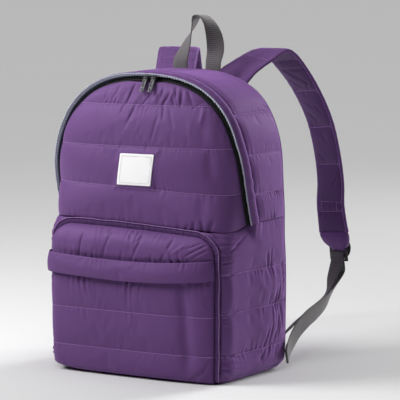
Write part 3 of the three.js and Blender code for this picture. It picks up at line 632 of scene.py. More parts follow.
class Bench:
    """Models small hard pieces with operators, one object at a time."""

    BAR_SIDES = 24
    BAR_END = 0.2
    FACING_UP = 0.9
    SMOOTH_ANGLE = math.radians(40.0)

    @staticmethod
    def clear() -> None:
        """Leaves edit mode and deselects everything."""
        if bpy.context.object and bpy.context.object.mode != "OBJECT":
            bpy.ops.object.mode_set(mode="OBJECT")
        bpy.ops.object.select_all(action="DESELECT")

    @staticmethod
    def take(obj: Object) -> None:
        """Makes one object the only selected and active one.

        Args:
            obj: The object.
        """
        Bench.clear()
        obj.select_set(True)
        bpy.context.view_layer.objects.active = obj

    @staticmethod
    def block(block: Block) -> Object:
        """Models a block with rounded edges.

        Args:
            block: Its sizes and place.

        Returns:
            The new object.
        """
        Bench.clear()
        bpy.ops.mesh.primitive_cube_add(size=1.0)
        obj = bpy.context.object
        bpy.ops.object.mode_set(mode="EDIT")
        bpy.ops.mesh.select_all(action="SELECT")
        bpy.ops.transform.resize(value=block.size)
        bpy.ops.mesh.bevel(offset=block.bevel, segments=block.segments, affect="EDGES")
        bpy.ops.object.mode_set(mode="OBJECT")
        obj.data.transform(Matrix.Translation(block.place))
        return obj

    @staticmethod
    def bar(bar: Bar) -> Object:
        """Models a round bar with softened ends.

        Args:
            bar: Its sizes, place and axis.

        Returns:
            The new object.
        """
        Bench.clear()
        bpy.ops.mesh.primitive_cylinder_add(vertices=Bench.BAR_SIDES, radius=bar.radius, depth=bar.length)
        obj = bpy.context.object
        bpy.ops.object.mode_set(mode="EDIT")
        bpy.ops.mesh.select_mode(type="FACE")
        bpy.ops.mesh.select_all(action="DESELECT")
        bpy.ops.object.mode_set(mode="OBJECT")
        for polygon in obj.data.polygons:
            polygon.select = abs(polygon.normal.z) > Bench.FACING_UP
        bpy.ops.object.mode_set(mode="EDIT")
        bpy.ops.mesh.bevel(offset=bar.radius * Bench.BAR_END, segments=2, affect="EDGES")
        bpy.ops.object.mode_set(mode="OBJECT")
        turn = Matrix.Rotation(math.pi / 2, 4, "Y" if bar.axis == "X" else "X")
        obj.data.transform(Matrix.Translation(bar.place) @ turn)
        return obj

    @staticmethod
    def combine(target: Object, other: Object, how: str) -> None:
        """Adds or cuts one object with another and removes the other.

        Args:
            target: The object that stays.
            other: The object that is used up.
            how: UNION or DIFFERENCE.
        """
        Bench.take(target)
        cut = target.modifiers.new("combine", "BOOLEAN")
        cut.operation = how
        cut.solver = "EXACT"
        cut.object = other
        bpy.ops.object.modifier_apply(modifier=cut.name)
        bpy.data.objects.remove(other)

    @staticmethod
    def copy(source: Object, name: str, place: Matrix) -> Object:
        """A copy with its own mesh, moved to its place and smoothed up to an angle.

        Args:
            source: The modelled piece.
            name: Name of the copy.
            place: Where it goes.

        Returns:
            The copy.
        """
        obj = add_object(name, source.data.copy())
        obj.data.name = name
        obj.data.transform(place)
        if place.determinant() < 0.0:
            obj.data.flip_normals()
        Bench.take(obj)
        bpy.ops.object.shade_smooth_by_angle(angle=Bench.SMOOTH_ANGLE)
        Bench.clear()
        return obj


# Finishes
class Tree:
    """Places and links nodes in a shader tree."""

    # Numbers of a mix node's two colour inputs
    MIX_LOW = 6
    MIX_HIGH = 7

    def __init__(self, tree: NodeTree) -> None:
        """Keeps the tree."""
        self.tree = tree

    def feed(self, node: Node, inputs: dict) -> None:
        """Sets or links a node's inputs.

        Args:
            node: The node.
            inputs: Values or sockets by input name or number.
        """
        for key, value in inputs.items():
            if isinstance(value, NodeSocket):
                self.tree.links.new(value, node.inputs[key])
            else:
                node.inputs[key].default_value = value

    def add(self, kind: str, inputs: Optional[dict] = None, **settings: object) -> Node:
        """Places one node.

        Args:
            kind: Node type.
            inputs: Values or sockets by input name or number.
            settings: Node settings.

        Returns:
            The node.
        """
        node = self.tree.nodes.new(kind)
        for key, value in settings.items():
            setattr(node, key, value)
        self.feed(node, inputs or {})
        return node

    def math(self, operation: str, a: object, b: object = 0.0, c: object = 0.0) -> NodeSocket:
        """A math node's result."""
        return self.add("ShaderNodeMath", {0: a, 1: b, 2: c}, operation=operation).outputs[0]

    def group(self, group: NodeTree, inputs: dict) -> NodeOutputs:
        """The outputs of a shared group, placed here."""
        return self.add("ShaderNodeGroup", inputs, node_tree=group).outputs

    def cloth_map(self) -> NodeSocket:
        """The cloth's own UV map."""
        return self.add("ShaderNodeUVMap", uv_map="cloth").outputs[0]

    def place(self) -> NodeSocket:
        """Object coordinates."""
        return self.add("ShaderNodeTexCoord").outputs["Object"]

    def noise(self, place: object, scale: object, detail: float = 2.0, warp: float = 0.0) -> NodeSocket:
        """Noise at a place."""
        inputs = {"Vector": place, "Scale": scale, "Detail": detail, "Distortion": warp}
        return self.add("ShaderNodeTexNoise", inputs).outputs["Fac"]

    def bump(self, height: object, strength: float, distance: float, **under: object) -> NodeSocket:
        """A normal bent by a height, over another Normal where one is given."""
        inputs = {"Height": height, "Strength": strength, "Distance": distance, **under}
        return self.add("ShaderNodeBump", inputs).outputs[0]

    def tones(self, mask: object, low: tuple, high: tuple) -> NodeSocket:
        """A colour between two tones, by a mask."""
        inputs = {0: mask, self.MIX_LOW: (*low, 1.0), self.MIX_HIGH: (*high, 1.0)}
        return self.add("ShaderNodeMix", inputs, data_type="RGBA").outputs[2]


class Effects:
    """Shader groups that several finishes share, each built once."""

    CREASE_DETAIL = 3.0
    CREASE_WARP = 0.6
    FINE_TIMES = 4.0
    FINE_SHARE = 0.12

    @staticmethod
    def _group(name: str, inputs: Sequence[str], outputs: Sequence[str]) -> tuple:
        """A new group with its sockets.

        Args:
            name: Group name.
            inputs: Names of its values, besides the place.
            outputs: Output names.

        Returns:
            Its tree helper, its input sockets and its output node.
        """
        group = bpy.data.node_groups.new(name, "ShaderNodeTree")
        group.interface.new_socket(name="Vector", in_out="INPUT", socket_type="NodeSocketVector")
        for way, names in (("INPUT", inputs), ("OUTPUT", outputs)):
            for key in names:
                group.interface.new_socket(name=key, in_out=way, socket_type="NodeSocketFloat")
        tree = Tree(group)
        return tree, tree.add("NodeGroupInput").outputs, tree.add("NodeGroupOutput")

    @staticmethod
    @cache
    def weave() -> NodeTree:
        """Plain weave: crossing threads on a UV map in metres.

        Returns:
            The group.
        """
        tree, given, end = Effects._group("weave", ["Threads"], ["Height"])
        split = tree.add("ShaderNodeSeparateXYZ", {0: given["Vector"]}).outputs
        pace = tree.math("MULTIPLY", given["Threads"], math.pi)
        waves = [tree.math("SINE", tree.math("MULTIPLY", split[k], pace)) for k in (0, 1)]
        tree.feed(end, {"Height": tree.math("MULTIPLY_ADD", tree.math("MULTIPLY", *waves), 0.5, 0.5)})
        return tree.tree

    @staticmethod
    @cache
    def twill() -> NodeTree:
        """Webbing: slanted ribs across the tape, on a UV map in metres.

        Returns:
            The group.
        """
        tree, given, end = Effects._group("twill", ["Ribs", "Lean"], ["Height"])
        split = tree.add("ShaderNodeSeparateXYZ", {0: given["Vector"]}).outputs
        side = tree.math("MULTIPLY", split[0], given["Lean"])
        slant = tree.math("ADD", tree.math("MULTIPLY", split[1], given["Ribs"]), side)
        rib = tree.math("SINE", tree.math("MULTIPLY", slant, 2 * math.pi))
        tree.feed(end, {"Height": tree.math("MULTIPLY_ADD", rib, 0.5, 0.5)})
        return tree.tree

    @staticmethod
    @cache
    def crinkle() -> NodeTree:
        """Fine creases of thin cloth, as a height and as a mask.

        Returns:
            The group.
        """
        tree, given, end = Effects._group("crinkle", ["Scale"], ["Height", "Mask"])
        broad = tree.noise(given["Vector"], given["Scale"], Effects.CREASE_DETAIL, Effects.CREASE_WARP)
        fine = tree.noise(given["Vector"], tree.math("MULTIPLY", given["Scale"], Effects.FINE_TIMES))
        ridge = tree.math("ABSOLUTE", tree.math("SUBTRACT", broad, 0.5))
        height = tree.math("ADD", ridge, tree.math("MULTIPLY", fine, Effects.FINE_SHARE))
        tree.feed(end, {"Height": height, "Mask": broad})
        return tree.tree


class Finish:
    """A finish: makes its material once and hands it out."""

    @cache
    def material(self) -> Material:
        """The finish's material, built on first use.

        Returns:
            The material.
        """
        material = bpy.data.materials.new(self.name)
        material.use_nodes = True
        material.node_tree.nodes.clear()
        tree = Tree(material.node_tree)
        shader = tree.add("ShaderNodeBsdfPrincipled")
        tree.add("ShaderNodeOutputMaterial", {0: shader.outputs[0]})
        self.dress(tree, shader)
        return material

    def dress(self, tree: Tree, shader: Node) -> None:
        """Wires the finish's nodes to the shader."""
        raise NotImplementedError


@dataclass(frozen=True)
class NylonFinish(Finish):
    """Thin satin cloth with a fine weave and soft creases."""

    name: str
    low: tuple
    high: tuple
    roughness: float = 0.56
    roughness_spread: float = 0.16
    sheen: float = 0.35
    sheen_roughness: float = 0.35
    gloss: float = 0.4
    ior: float = 1.5
    gloss_tint: tuple = (0.66, 0.33, 0.92, 1.0)
    tone_scale: float = 9.0
    crease: float = 0.12
    crease_scale: float = 38.0
    crease_depth: float = 0.004
    weave: float = 0.12
    weave_depth: float = 0.0002
    threads: float = 2200.0

    def dress(self, tree: Tree, shader: Node) -> None:
        """Wires weave, creases and tone.

        Args:
            tree: The material's nodes.
            shader: Its shader.
        """
        place = tree.place()
        creases = tree.group(Effects.crinkle(), {"Vector": place, "Scale": self.crease_scale})
        threads = tree.group(Effects.weave(), {"Vector": tree.cloth_map(), "Threads": self.threads})
        bump = tree.bump(creases["Height"], self.crease, self.crease_depth)
        spread = self.roughness_spread
        tree.feed(shader, {
            "Base Color": tree.tones(tree.noise(place, self.tone_scale), self.low, self.high),
            "Roughness": tree.math("MULTIPLY_ADD", creases["Mask"], spread, self.roughness - spread / 2),
            "Normal": tree.bump(threads["Height"], self.weave, self.weave_depth, Normal=bump),
            "Sheen Weight": self.sheen,
            "Sheen Roughness": self.sheen_roughness,
            "Sheen Tint": self.gloss_tint,
            "IOR": self.ior,
            "Specular IOR Level": self.gloss,
            "Specular Tint": self.gloss_tint,
        })


@dataclass(frozen=True)
class WebbingFinish(Finish):
    """Woven tape with slanted ribs, its colour darker between the ribs as painted shade."""

    name: str
    # low is the colour in the troughs between ribs (painted shade), high the colour on the rib tops.
    low: tuple
    high: tuple
    ribs: float = 330.0
    rib_slant: float = 260.0
    rib: float = 0.6
    rib_depth: float = 0.0006
    roughness: float = 0.72
    sheen: float = 0.3

    def dress(self, tree: Tree, shader: Node) -> None:
        """Wires ribs, and a base colour that is darker in the troughs between them: painted shade.

        Args:
            tree: The material's nodes.
            shader: Its shader.
        """
        inputs = {"Vector": tree.cloth_map(), "Ribs": self.ribs, "Lean": self.rib_slant}
        ribs = tree.group(Effects.twill(), inputs)["Height"]
        tree.feed(shader, {
            # The rib height also picks the colour: the troughs take the low tone, painted shade between the
            # ribs.
            "Base Color": tree.tones(ribs, self.low, self.high),
            "Normal": tree.bump(ribs, self.rib, self.rib_depth),
            "Roughness": self.roughness,
            "Sheen Weight": self.sheen,
        })


@dataclass(frozen=True)
class HardFinish(Finish):
    """Moulded or painted hard surface with a fine grain."""

    name: str
    low: tuple
    high: tuple
    roughness: float
    roughness_spread: float = 0.2
    metallic: float = 0.0
    grain: float = 0.15
    grain_scale: float = 900.0
    grain_depth: float = 0.0002
    tone_scale: float = 140.0
    tone_detail: float = 3.0

    def dress(self, tree: Tree, shader: Node) -> None:
        """Wires grain, tone and gloss.

        Args:
            tree: The material's nodes.
            shader: Its shader.
        """
        place = tree.place()
        patch = tree.noise(place, self.tone_scale, self.tone_detail)
        spread = self.roughness_spread
        tree.feed(shader, {
            "Base Color": tree.tones(patch, self.low, self.high),
            "Roughness": tree.math("MULTIPLY_ADD", patch, spread, self.roughness - spread / 2),
            "Normal": tree.bump(tree.noise(place, self.grain_scale), self.grain, self.grain_depth),
            "Metallic": self.metallic,
        })


@dataclass(frozen=True)
class PlainFinish(Finish):
    """A plain studio floor with the faintest mottling."""

    name: str
    low: tuple
    high: tuple
    tone_scale: float = 1.5
    roughness: float = 0.8

    def dress(self, tree: Tree, shader: Node) -> None:
        """Wires tone."""
        tone = tree.noise(tree.place(), self.tone_scale)
        tree.feed(shader, {"Base Color": tree.tones(tone, self.low, self.high), "Roughness": self.roughness})


WHITE = (1.0, 1.0, 1.0, 1.0)
BLUE = (0.8, 0.85, 1.0, 1.0)
MATT = {"sheen": 0.0, "gloss": 0.3, "gloss_tint": WHITE, "crease": 0.05}
PURPLE = NylonFinish("purple_nylon", (0.108, 0.0505, 0.158), (0.132, 0.062, 0.188))
# Darker copy of the purple nylon for the straps' shoulder faces: painted shade where the bag keeps the light
# off them.
STRAP_SHADE = NylonFinish("purple_strap_painted_shade", (0.066, 0.030, 0.098), (0.080, 0.037, 0.116), sheen=0.15)
PIPING = NylonFinish("purple_piping", (0.064, 0.029, 0.096), (0.080, 0.037, 0.118), sheen=0.2)
LINING = NylonFinish("lining_blue_grey", (0.05, 0.058, 0.10), (0.075, 0.085, 0.14), gloss_tint=BLUE)
BOUND_EDGE = NylonFinish("bound_edge_grey", (0.27, 0.285, 0.37), (0.34, 0.36, 0.45), gloss_tint=BLUE)
THREAD = NylonFinish("purple_thread", (0.31, 0.18, 0.40), (0.37, 0.22, 0.47), crease=0.0)
# Near-black thread for the bound seam's two stitch rows: the rows are real, and their black colour and
# thickness are painted shade in the seam's grooves.
GROOVE_SHADE_THREAD = NylonFinish("binding_thread_painted_shade", (0.010, 0.005, 0.018), (0.014, 0.007, 0.024), sheen=0.0, crease=0.0)
PALE_THREAD = NylonFinish("pale_thread", (0.62, 0.64, 0.74), (0.7, 0.72, 0.82), crease=0.0, gloss_tint=BLUE)
GREY_THREAD = NylonFinish("grey_thread", (0.45, 0.45, 0.47), (0.55, 0.55, 0.57), crease=0.0, gloss_tint=WHITE)
PATCH = NylonFinish("white_patch", (0.93, 0.92, 0.93), (0.96, 0.95, 0.96), roughness=0.7, **MATT)
TAPE = NylonFinish("black_tape", (0.010, 0.010, 0.011), (0.016, 0.016, 0.018), roughness=0.75, **MATT)
# Each webbing's low tone is painted shade in the troughs between its ribs.
WEBBING = WebbingFinish("webbing_grey", (0.055, 0.048, 0.052), (0.16, 0.145, 0.155))
ADJUSTER = WebbingFinish("webbing_dark", (0.028, 0.024, 0.027), (0.085, 0.076, 0.083))
TEETH = HardFinish("zip_coil", (0.006, 0.006, 0.007), (0.012, 0.012, 0.014), roughness=0.42)
GUNMETAL = HardFinish("gunmetal", (0.026, 0.026, 0.028), (0.044, 0.044, 0.047), roughness=0.42, metallic=0.7)
MOULDING = HardFinish("black_moulding", (0.010, 0.010, 0.012), (0.02, 0.02, 0.023), roughness=0.4)
FLOOR = PlainFinish("pale_floor", (0.62, 0.62, 0.62), (0.64, 0.64, 0.64))


def hand_over(obj: Object, finish: Finish, node: str = "", body: str = BAG) -> None:
    """Dresses a finished piece, ties it to its body and hides the solid that it stands for.

    Args:
        obj: The piece.
        finish: Its finish, unless it already has one.
        node: Solid that it stands for, if there is one.
        body: The body that it moves with.
    """
    if not obj.data.materials:
        obj.data.materials.append(finish.material())
    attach(obj, body)
    if node:
        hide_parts(node)
    LOG.info("%s: %d faces", obj.name, len(obj.data.polygons))


# Stitching
@dataclass
class Thread:
    """Collects single stitches and makes one piece of them."""

    name: str
    finish: Finish
    slot: Slot = Slot.CLOTH
    pitch: float = 0.0036
    length: float = 0.0026
    radius: float = 0.0006
    sides: int = 5
    stations: tuple = ((-0.5, 0.35), (-0.28, 1.0), (0.28, 1.0), (0.5, 0.35))
    dip: float = 0.9
    look_ahead: float = 0.4
    places: list = field(default_factory=list)

    def sew(self, line: Array, normals: Array, lift: float = 0.0001, pitch: float = 0.0) -> None:
        """Sews along a line on the cloth.

        Args:
            line: Points on the cloth.
            normals: The cloth's outward direction at each point.
            lift: Height of the thread's middle above the cloth.
            pitch: Distance from stitch to stitch, or 0 for the usual one.
        """
        step = pitch or self.pitch
        run = run_length(line)
        if run[-1] < step:
            return
        at = np.arange(step / 2, run[-1], step)
        ahead = at_run(line, run, np.minimum(at + step * self.look_ahead, run[-1]))
        behind = at_run(line, run, np.maximum(at - step * self.look_ahead, 0.0))
        along = unit(ahead - behind)
        out = square_to(at_run(normals, run, at), along)
        self.places.append((at_run(line, run, at) + out * lift, along, out))

    def make(self) -> None:
        """Makes the piece: one short thread for each stitch."""
        middle, along, out = (np.concatenate([p[k] for p in self.places]) for k in range(3))
        side = np.cross(out, along)
        rings = []
        for share, swell in self.stations:
            dip = self.dip if swell < 1.0 else 0.0
            for turn in np.arange(self.sides) * 2 * math.pi / self.sides:
                round_it = side * (math.cos(turn) * swell) + out * (math.sin(turn) * swell - dip)
                rings.append(middle + along * (share * self.length) + round_it * self.radius)
        points = np.stack(rings, axis=1)
        one = grid_faces(len(self.stations), self.sides, wrap=True)
        obj = mesh_object(self.name, points, repeated(one, points.shape[1], len(points)))
        obj.data.uv_layers.new(name="cloth")
        hand_over(obj, self.finish)


BODY_THREAD = Thread("stitching_cloth", THREAD)
EDGE_THREAD = Thread("stitching_lip", PALE_THREAD, pitch=0.0045, length=0.0030)
BINDING_THREAD = Thread("stitching_binding", GROOVE_SHADE_THREAD, pitch=0.0050, length=0.0030, radius=0.0013)
PATCH_THREAD = Thread("stitching_label", GREY_THREAD, Slot.LABEL, pitch=0.0024, length=0.0019, radius=0.0003)


# Creases and puckers
class Crease(NamedTuple):
    """A crease in millimetres: its middle, lean, width, half length and height, below zero for a dent."""

    u: float
    v: float
    lean: float
    width: float
    length: float
    height: float


def creases(table: Sequence[tuple], u: Array, v: Array) -> Array:
    """Height of single creases.

    Args:
        table: The creases, in the order of Crease.
        u: Places along the cloth in metres.
        v: Places up the cloth in metres.

    Returns:
        Height at each place in metres.
    """
    total = np.zeros(np.broadcast(u, v).shape)
    for crease in (Crease(*row) for row in table):
        up = v * MILLIMETRES - crease.v
        side = (u * MILLIMETRES - crease.u - crease.lean * up) / crease.width
        total += crease.height / MILLIMETRES * np.exp(-(side**2)) * np.exp(-((up / crease.length) ** 4))
    return total


class Waves:
    """Uneven waves from one seed."""

    SHARE = (0.3, 1.0)
    DRIFT_RUN = (0.05, 0.12)
    TURN = 6.3

    def __init__(self, seed: int) -> None:
        """Keeps its own seeded numbers."""
        self.rng = np.random.default_rng(seed)

    def along(self, run: Array, low: float, high: float, count: int = 7) -> Array:
        """An uneven wave along a run, about one high.

        Args:
            run: Distance along the seam.
            low: Shortest wave.
            high: Longest wave.
            count: How many waves are mixed.

        Returns:
            The wave's height at each place.
        """
        total = np.zeros_like(run)
        for _ in range(count):
            length = self.rng.uniform(low, high)
            phase = self.rng.uniform(0, 2 * np.pi)
            share = self.rng.uniform(*self.SHARE)
            drift = share * np.sin(run / self.rng.uniform(*self.DRIFT_RUN) + self.rng.uniform(0, self.TURN))
            total += np.sin(2 * np.pi * run / length + phase + drift)
        return total / math.sqrt(count)


class Folds(NamedTuple):
    """Small folds that a seam draws into the cloth: seed, height and reach in metres."""

    seed: int
    height: float
    reach: float = 0.006


FOLD_WAVES = (0.005, 0.014)
FOLD_LEAN = 0.25
FOLD_LEAN_RUN = 0.03
FOLD_START = 0.002
PATCH_SEEDS = 1000
PATCH_WAVES = (0.05, 0.15, 4)
PATCH_SHARE = (0.35, 0.6)


def puckers(folds: Folds, run: Array, away: Array) -> Array:
    """Small folds on the far side of a seam, in uneven patches.

    Args:
        folds: What they are like.
        run: Distance along the seam.
        away: Distance from the seam, below zero on the near side.

    Returns:
        Height at each place.
    """
    lean = run + FOLD_LEAN * away * np.sin(run / FOLD_LEAN_RUN)
    base, swing = PATCH_SHARE
    patch = np.clip(base + swing * Waves(folds.seed + PATCH_SEEDS).along(run, *PATCH_WAVES), 0.0, 1.0)
    wave = Waves(folds.seed).along(lean, *FOLD_WAVES) * patch
    share = np.exp(-np.abs(away) / folds.reach) * smooth(0.0, FOLD_START, np.abs(away))
    return folds.height * wave * np.where(away >= 0.0, share, 0.0)


def pucker_rows(folds: Folds, run: Array, across: Array, rows: Sequence[float]) -> Array:
    """Small folds on both sides of rows of stitching.

    Args:
        folds: What they are like.
        run: Distance along the rows.
        across: Distance across them.
        rows: Places of the rows.

    Returns:
        Height at each place.
    """
    total = np.zeros(np.broadcast(run, across).shape)
    for k, row in enumerate(rows):
        total += puckers(folds._replace(seed=folds.seed + 2 * k), run, across - row)
        total += puckers(folds._replace(seed=folds.seed + 2 * k + 1), run, row - across)
    return total


# Padded cloth
CLOTH_RULES = {
    "quality": 6, "mass": 0.15, "air_damping": 2.0, "tension_stiffness": 18.0, "compression_stiffness": 18.0,
    "shear_stiffness": 8.0, "bending_stiffness": 3.0, "tension_damping": 8.0, "compression_damping": 8.0,
    "shear_damping": 8.0, "vertex_group_mass": "sewn", "use_pressure": True,
}


@dataclass
class Quilt:
    """A padded cloth sheet on a grid, sewn down where its points are pinned, then creased."""

    node: str
    grid: Array
    sewn: Array
    marks: Array
    detail: Callable
    wrap: bool = False
    pressure: float = 0.6
    growth: float = 0.001
    cap: float = 0.006
    thick: float = 0.002
    fill: float = 0.45
    row_lift: float = 0.0002
    obj: Optional[Object] = None

    def lay_out(self) -> None:
        """Makes the sheet's mesh."""
        self.obj = grid_object(f"{self.node}_cloth", self.grid, self.wrap)

    def fill_up(self) -> None:
        """Adds the cloth simulation: seams held, filling pressing outward, a little spare cloth."""
        group = self.obj.vertex_groups.new(name="sewn")
        group.add(np.nonzero(self.sewn.ravel())[0].tolist(), 1.0, "REPLACE")
        cloth = self.obj.modifiers.new("filling", "CLOTH")
        cloth.collision_settings.use_collision = False
        cloth.point_cache.frame_start = 1
        cloth.point_cache.frame_end = SewingRoom.FRAMES + 1
        for rule, value in CLOTH_RULES.items():
            setattr(cloth.settings, rule, value)
        cloth.settings.shrink_min = -self.growth
        cloth.settings.uniform_pressure_force = self.pressure
        cloth.settings.effector_weights.gravity = 0.0

    def settle(self) -> None:
        """Keeps the simulated shape, within the cap, refines it and lays the creases in."""
        start = self.grid.reshape(-1, 3)
        moved = evaluated_points(self.obj)[: len(start)] - start
        far = np.linalg.norm(moved, axis=1, keepdims=True)
        moved *= np.minimum(1.0, self.cap / np.maximum(far, TINY))
        mesh = self.obj.data
        bpy.data.objects.remove(self.obj)
        bpy.data.meshes.remove(mesh)
        grid = finer((start + moved).reshape(self.grid.shape), self.wrap)
        u, v = np.moveaxis(finer(self.marks, self.wrap), 2, 0)
        self.grid = SLUMP.settle(grid + grid_normals(grid, self.wrap) * self.detail(u, v)[..., None])

    def sew(self, rows: Sequence[int], columns: Sequence[int] = ()) -> None:
        """Stitches along rows and columns of the first grid.

        Args:
            rows: Numbers of the rows.
            columns: Numbers of the columns.
        """
        normals = grid_normals(self.grid, self.wrap)
        for line in [2 * row for row in rows] + [(slice(None), 2 * column) for column in columns]:
            BODY_THREAD.sew(self.grid[line], normals[line], self.row_lift)

    def done(self) -> Object:
        """Gives the sheet its thickness and hands it over as a padded piece.

        Returns:
            The piece.
        """
        self.lay_out()
        if not self.wrap:
            thicken(self.obj, self.thick)
        hand_over(self.obj, PURPLE, self.node)
        return self.obj


class SewingRoom:
    """Runs the filling of all quilts together."""

    FRAMES = 16

    @staticmethod
    def run(quilts: Sequence[Quilt]) -> None:
        """Lays out the sheets, fills them and keeps the result.

        Args:
            quilts: The padded sheets.
        """
        for quilt in quilts:
            quilt.lay_out()
        for quilt in quilts:
            quilt.fill_up()
        for number in range(1, SewingRoom.FRAMES + 1):
            bpy.context.scene.frame_set(number)
        for quilt in quilts:
            quilt.settle()
        bpy.context.scene.frame_set(1)


@dataclass
class PaddedPanel:
    """A padded wall of the bag: one quilt, stitched along rows or columns of its grid."""

    outline: Outline
    fade: float = 0.014
    quilt: Optional[Quilt] = None
    sewn_rows: Sequence[int] = ()
    sewn_columns: Sequence[int] = ()

    def lay(self, node: str, grid: Array, lift: Array, sewn: Array, marks: Array) -> Quilt:
        """Lays the wall's quilt: sewn outline, lift of the filling, held points and places of the creases."""
        self.quilt = Quilt(node, grid + grid_normals(grid) * lift[..., None], sewn, marks, self.creased)
        return self.quilt

    def faded(self, near: Array) -> Array:
        """How far the filling has risen at a distance from the wall's edge."""
        return np.sqrt(ramp(0.0, self.fade, near))

    def creased(self, u: Array, v: Array) -> Array:
        """Height of the wall's creases at a place."""
        raise NotImplementedError

    def dress(self) -> None:
        """Stitches the settled cloth and hands it over."""
        self.quilt.sew(self.sewn_rows, self.sewn_columns)
        self.quilt.done()


FRONT_CREASES = (
    (-18, 390, 0.34, 1.9, 13, -1.6), (-27.4, 370, 0.25, 1.7, 7, -0.9), (-11.5, 362, 0.37, 2.0, 14, -1.3),
    (10, 384, 0.8, 1.9, 9, -1.2), (33, 392, 0.1, 1.6, 7, -1.1), (40.6, 384.5, 0.61, 2.1, 9, -1.9),
    (39.5, 367.5, -0.17, 2.0, 10, -1.1), (29, 345, 0.23, 2.3, 17, -0.9), (54, 394, -0.25, 1.9, 8, -1.3),
    (64, 384, 0.0, 1.9, 9, -1.6), (77, 387, -0.58, 2.1, 10, -1.2), (54, 357, -0.36, 2.6, 12, -0.7),
    (99, 363, 0.13, 3.0, 12, 1.0), (88, 376, 1.5, 1.7, 5, -1.0), (103, 338, -0.1, 7.0, 15, -1.0),
    (124, 340, -0.15, 5.5, 16, -0.9), (47, 388, 0.2, 3.0, 9, 1.1), (59, 390, -0.1, 2.6, 9, 1.1),
    (70, 388, -0.3, 3.0, 9, 1.0), (25, 388, 0.4, 4.0, 9, 0.9), (-6, 388, 0.35, 5.0, 12, 0.7),
    (-25, 316, 0.0, 1.4, 6, -0.6), (18, 317, 0.0, 1.4, 6, -0.8), (95, 222, 0.2, 2.6, 7, -1.8),
    (108, 223, -0.2, 2.6, 8, -2.0), (120, 224, 0.3, 3.0, 9, -1.7), (-40, 396, 0.3, 2.4, 8, -0.7),
    (-58, 390, 0.2, 2.6, 9, -0.6), (84, 342, -0.1, 4.0, 16, 0.5), (114, 298, -0.1, 7.0, 16, -1.8),
    (106, 246, -0.1, 8.0, 14, -1.6), (84, 219, 0.4, 2.2, 5, -1.3), (72, 218, -0.3, 2.0, 4, -1.0),
)


@dataclass
class FrontPanel(PaddedPanel):
    """Upper front panel: four padded channels, gathered below the top of the zip."""

    rows: tuple = (0.265, 0.319, 0.376)
    cells: tuple = (16, 18, 19)
    top_cells: int = 17
    top_power: float = 1.6
    columns: int = 133
    puff: float = 0.0026
    top_share: float = 0.7
    close: float = 0.0012
    row_folds: Folds = Folds(11, 0.0006)
    edge_folds: Folds = Folds(15, 0.0007, 0.010)
    left_shift: float = 0.5
    calm_z: float = 0.30
    calm_share: float = 0.5
    crease_fade: float = 0.004
    fold_fade: float = 0.006

    def plan(self) -> Quilt:
        """Lays the panel's cloth over its filling.

        Returns:
            The quilt, ready to be filled.
        """
        o = self.outline
        limits = [o.seam + o.gap, *self.rows, o.front_top() - self.close]
        heights = closing_rows(limits, self.cells, self.top_cells, self.top_power)
        grid = np.stack([o.front_section(z, self.columns) for z in heights])
        x, y, z = np.moveaxis(grid, 2, 0)
        side = o.front_half(z) - np.abs(x) + o.front_edge(z) - y
        full = fullness(z, [o.seam, *self.rows, o.front_top()])
        full *= np.where(z > self.rows[-1], self.top_share, 1.0)
        self.sewn_rows = np.cumsum(self.cells)
        sewn = pinned(z.shape, [0, -1, *self.sewn_rows], [0, -1])
        return self.lay("front_panel", grid, self.puff * full * self.faded(side), sewn, grid[..., [0, 2]])

    def creased(self, u: Array, v: Array) -> Array:
        """Height of the panel's creases.

        Args:
            u: Places across.
            v: Places up.

        Returns:
            The height.
        """
        near = self.outline.front_half(v) - np.abs(u)
        total = creases(FRONT_CREASES, u, v) * smooth(0.0, self.crease_fade, near)
        small = pucker_rows(self.row_folds, u, v, [self.outline.seam, *self.rows])
        edge = puckers(self.edge_folds, np.where(u > 0, v, v + self.left_shift), near)
        small += edge * np.where(v > self.calm_z, 1.0, self.calm_share)
        return total + small * smooth(0.0, self.fold_fade, near)


GUSSET_CREASES = (
    (20, 172, 0.15, 2.4, 18, -1.5), (33, 184, -0.2, 2.4, 15, -1.3), (50, 176, 0.25, 2.8, 15, -1.0),
    (27, 208, 0.1, 2.4, 14, -1.2), (13, 122, 0.05, 2.2, 15, -1.0), (62, 200, -0.1, 3.0, 16, -0.9),
    (16, 62, -0.1, 2.2, 9, -0.9), (40, 30, 0.6, 2.4, 8, -0.9),
)


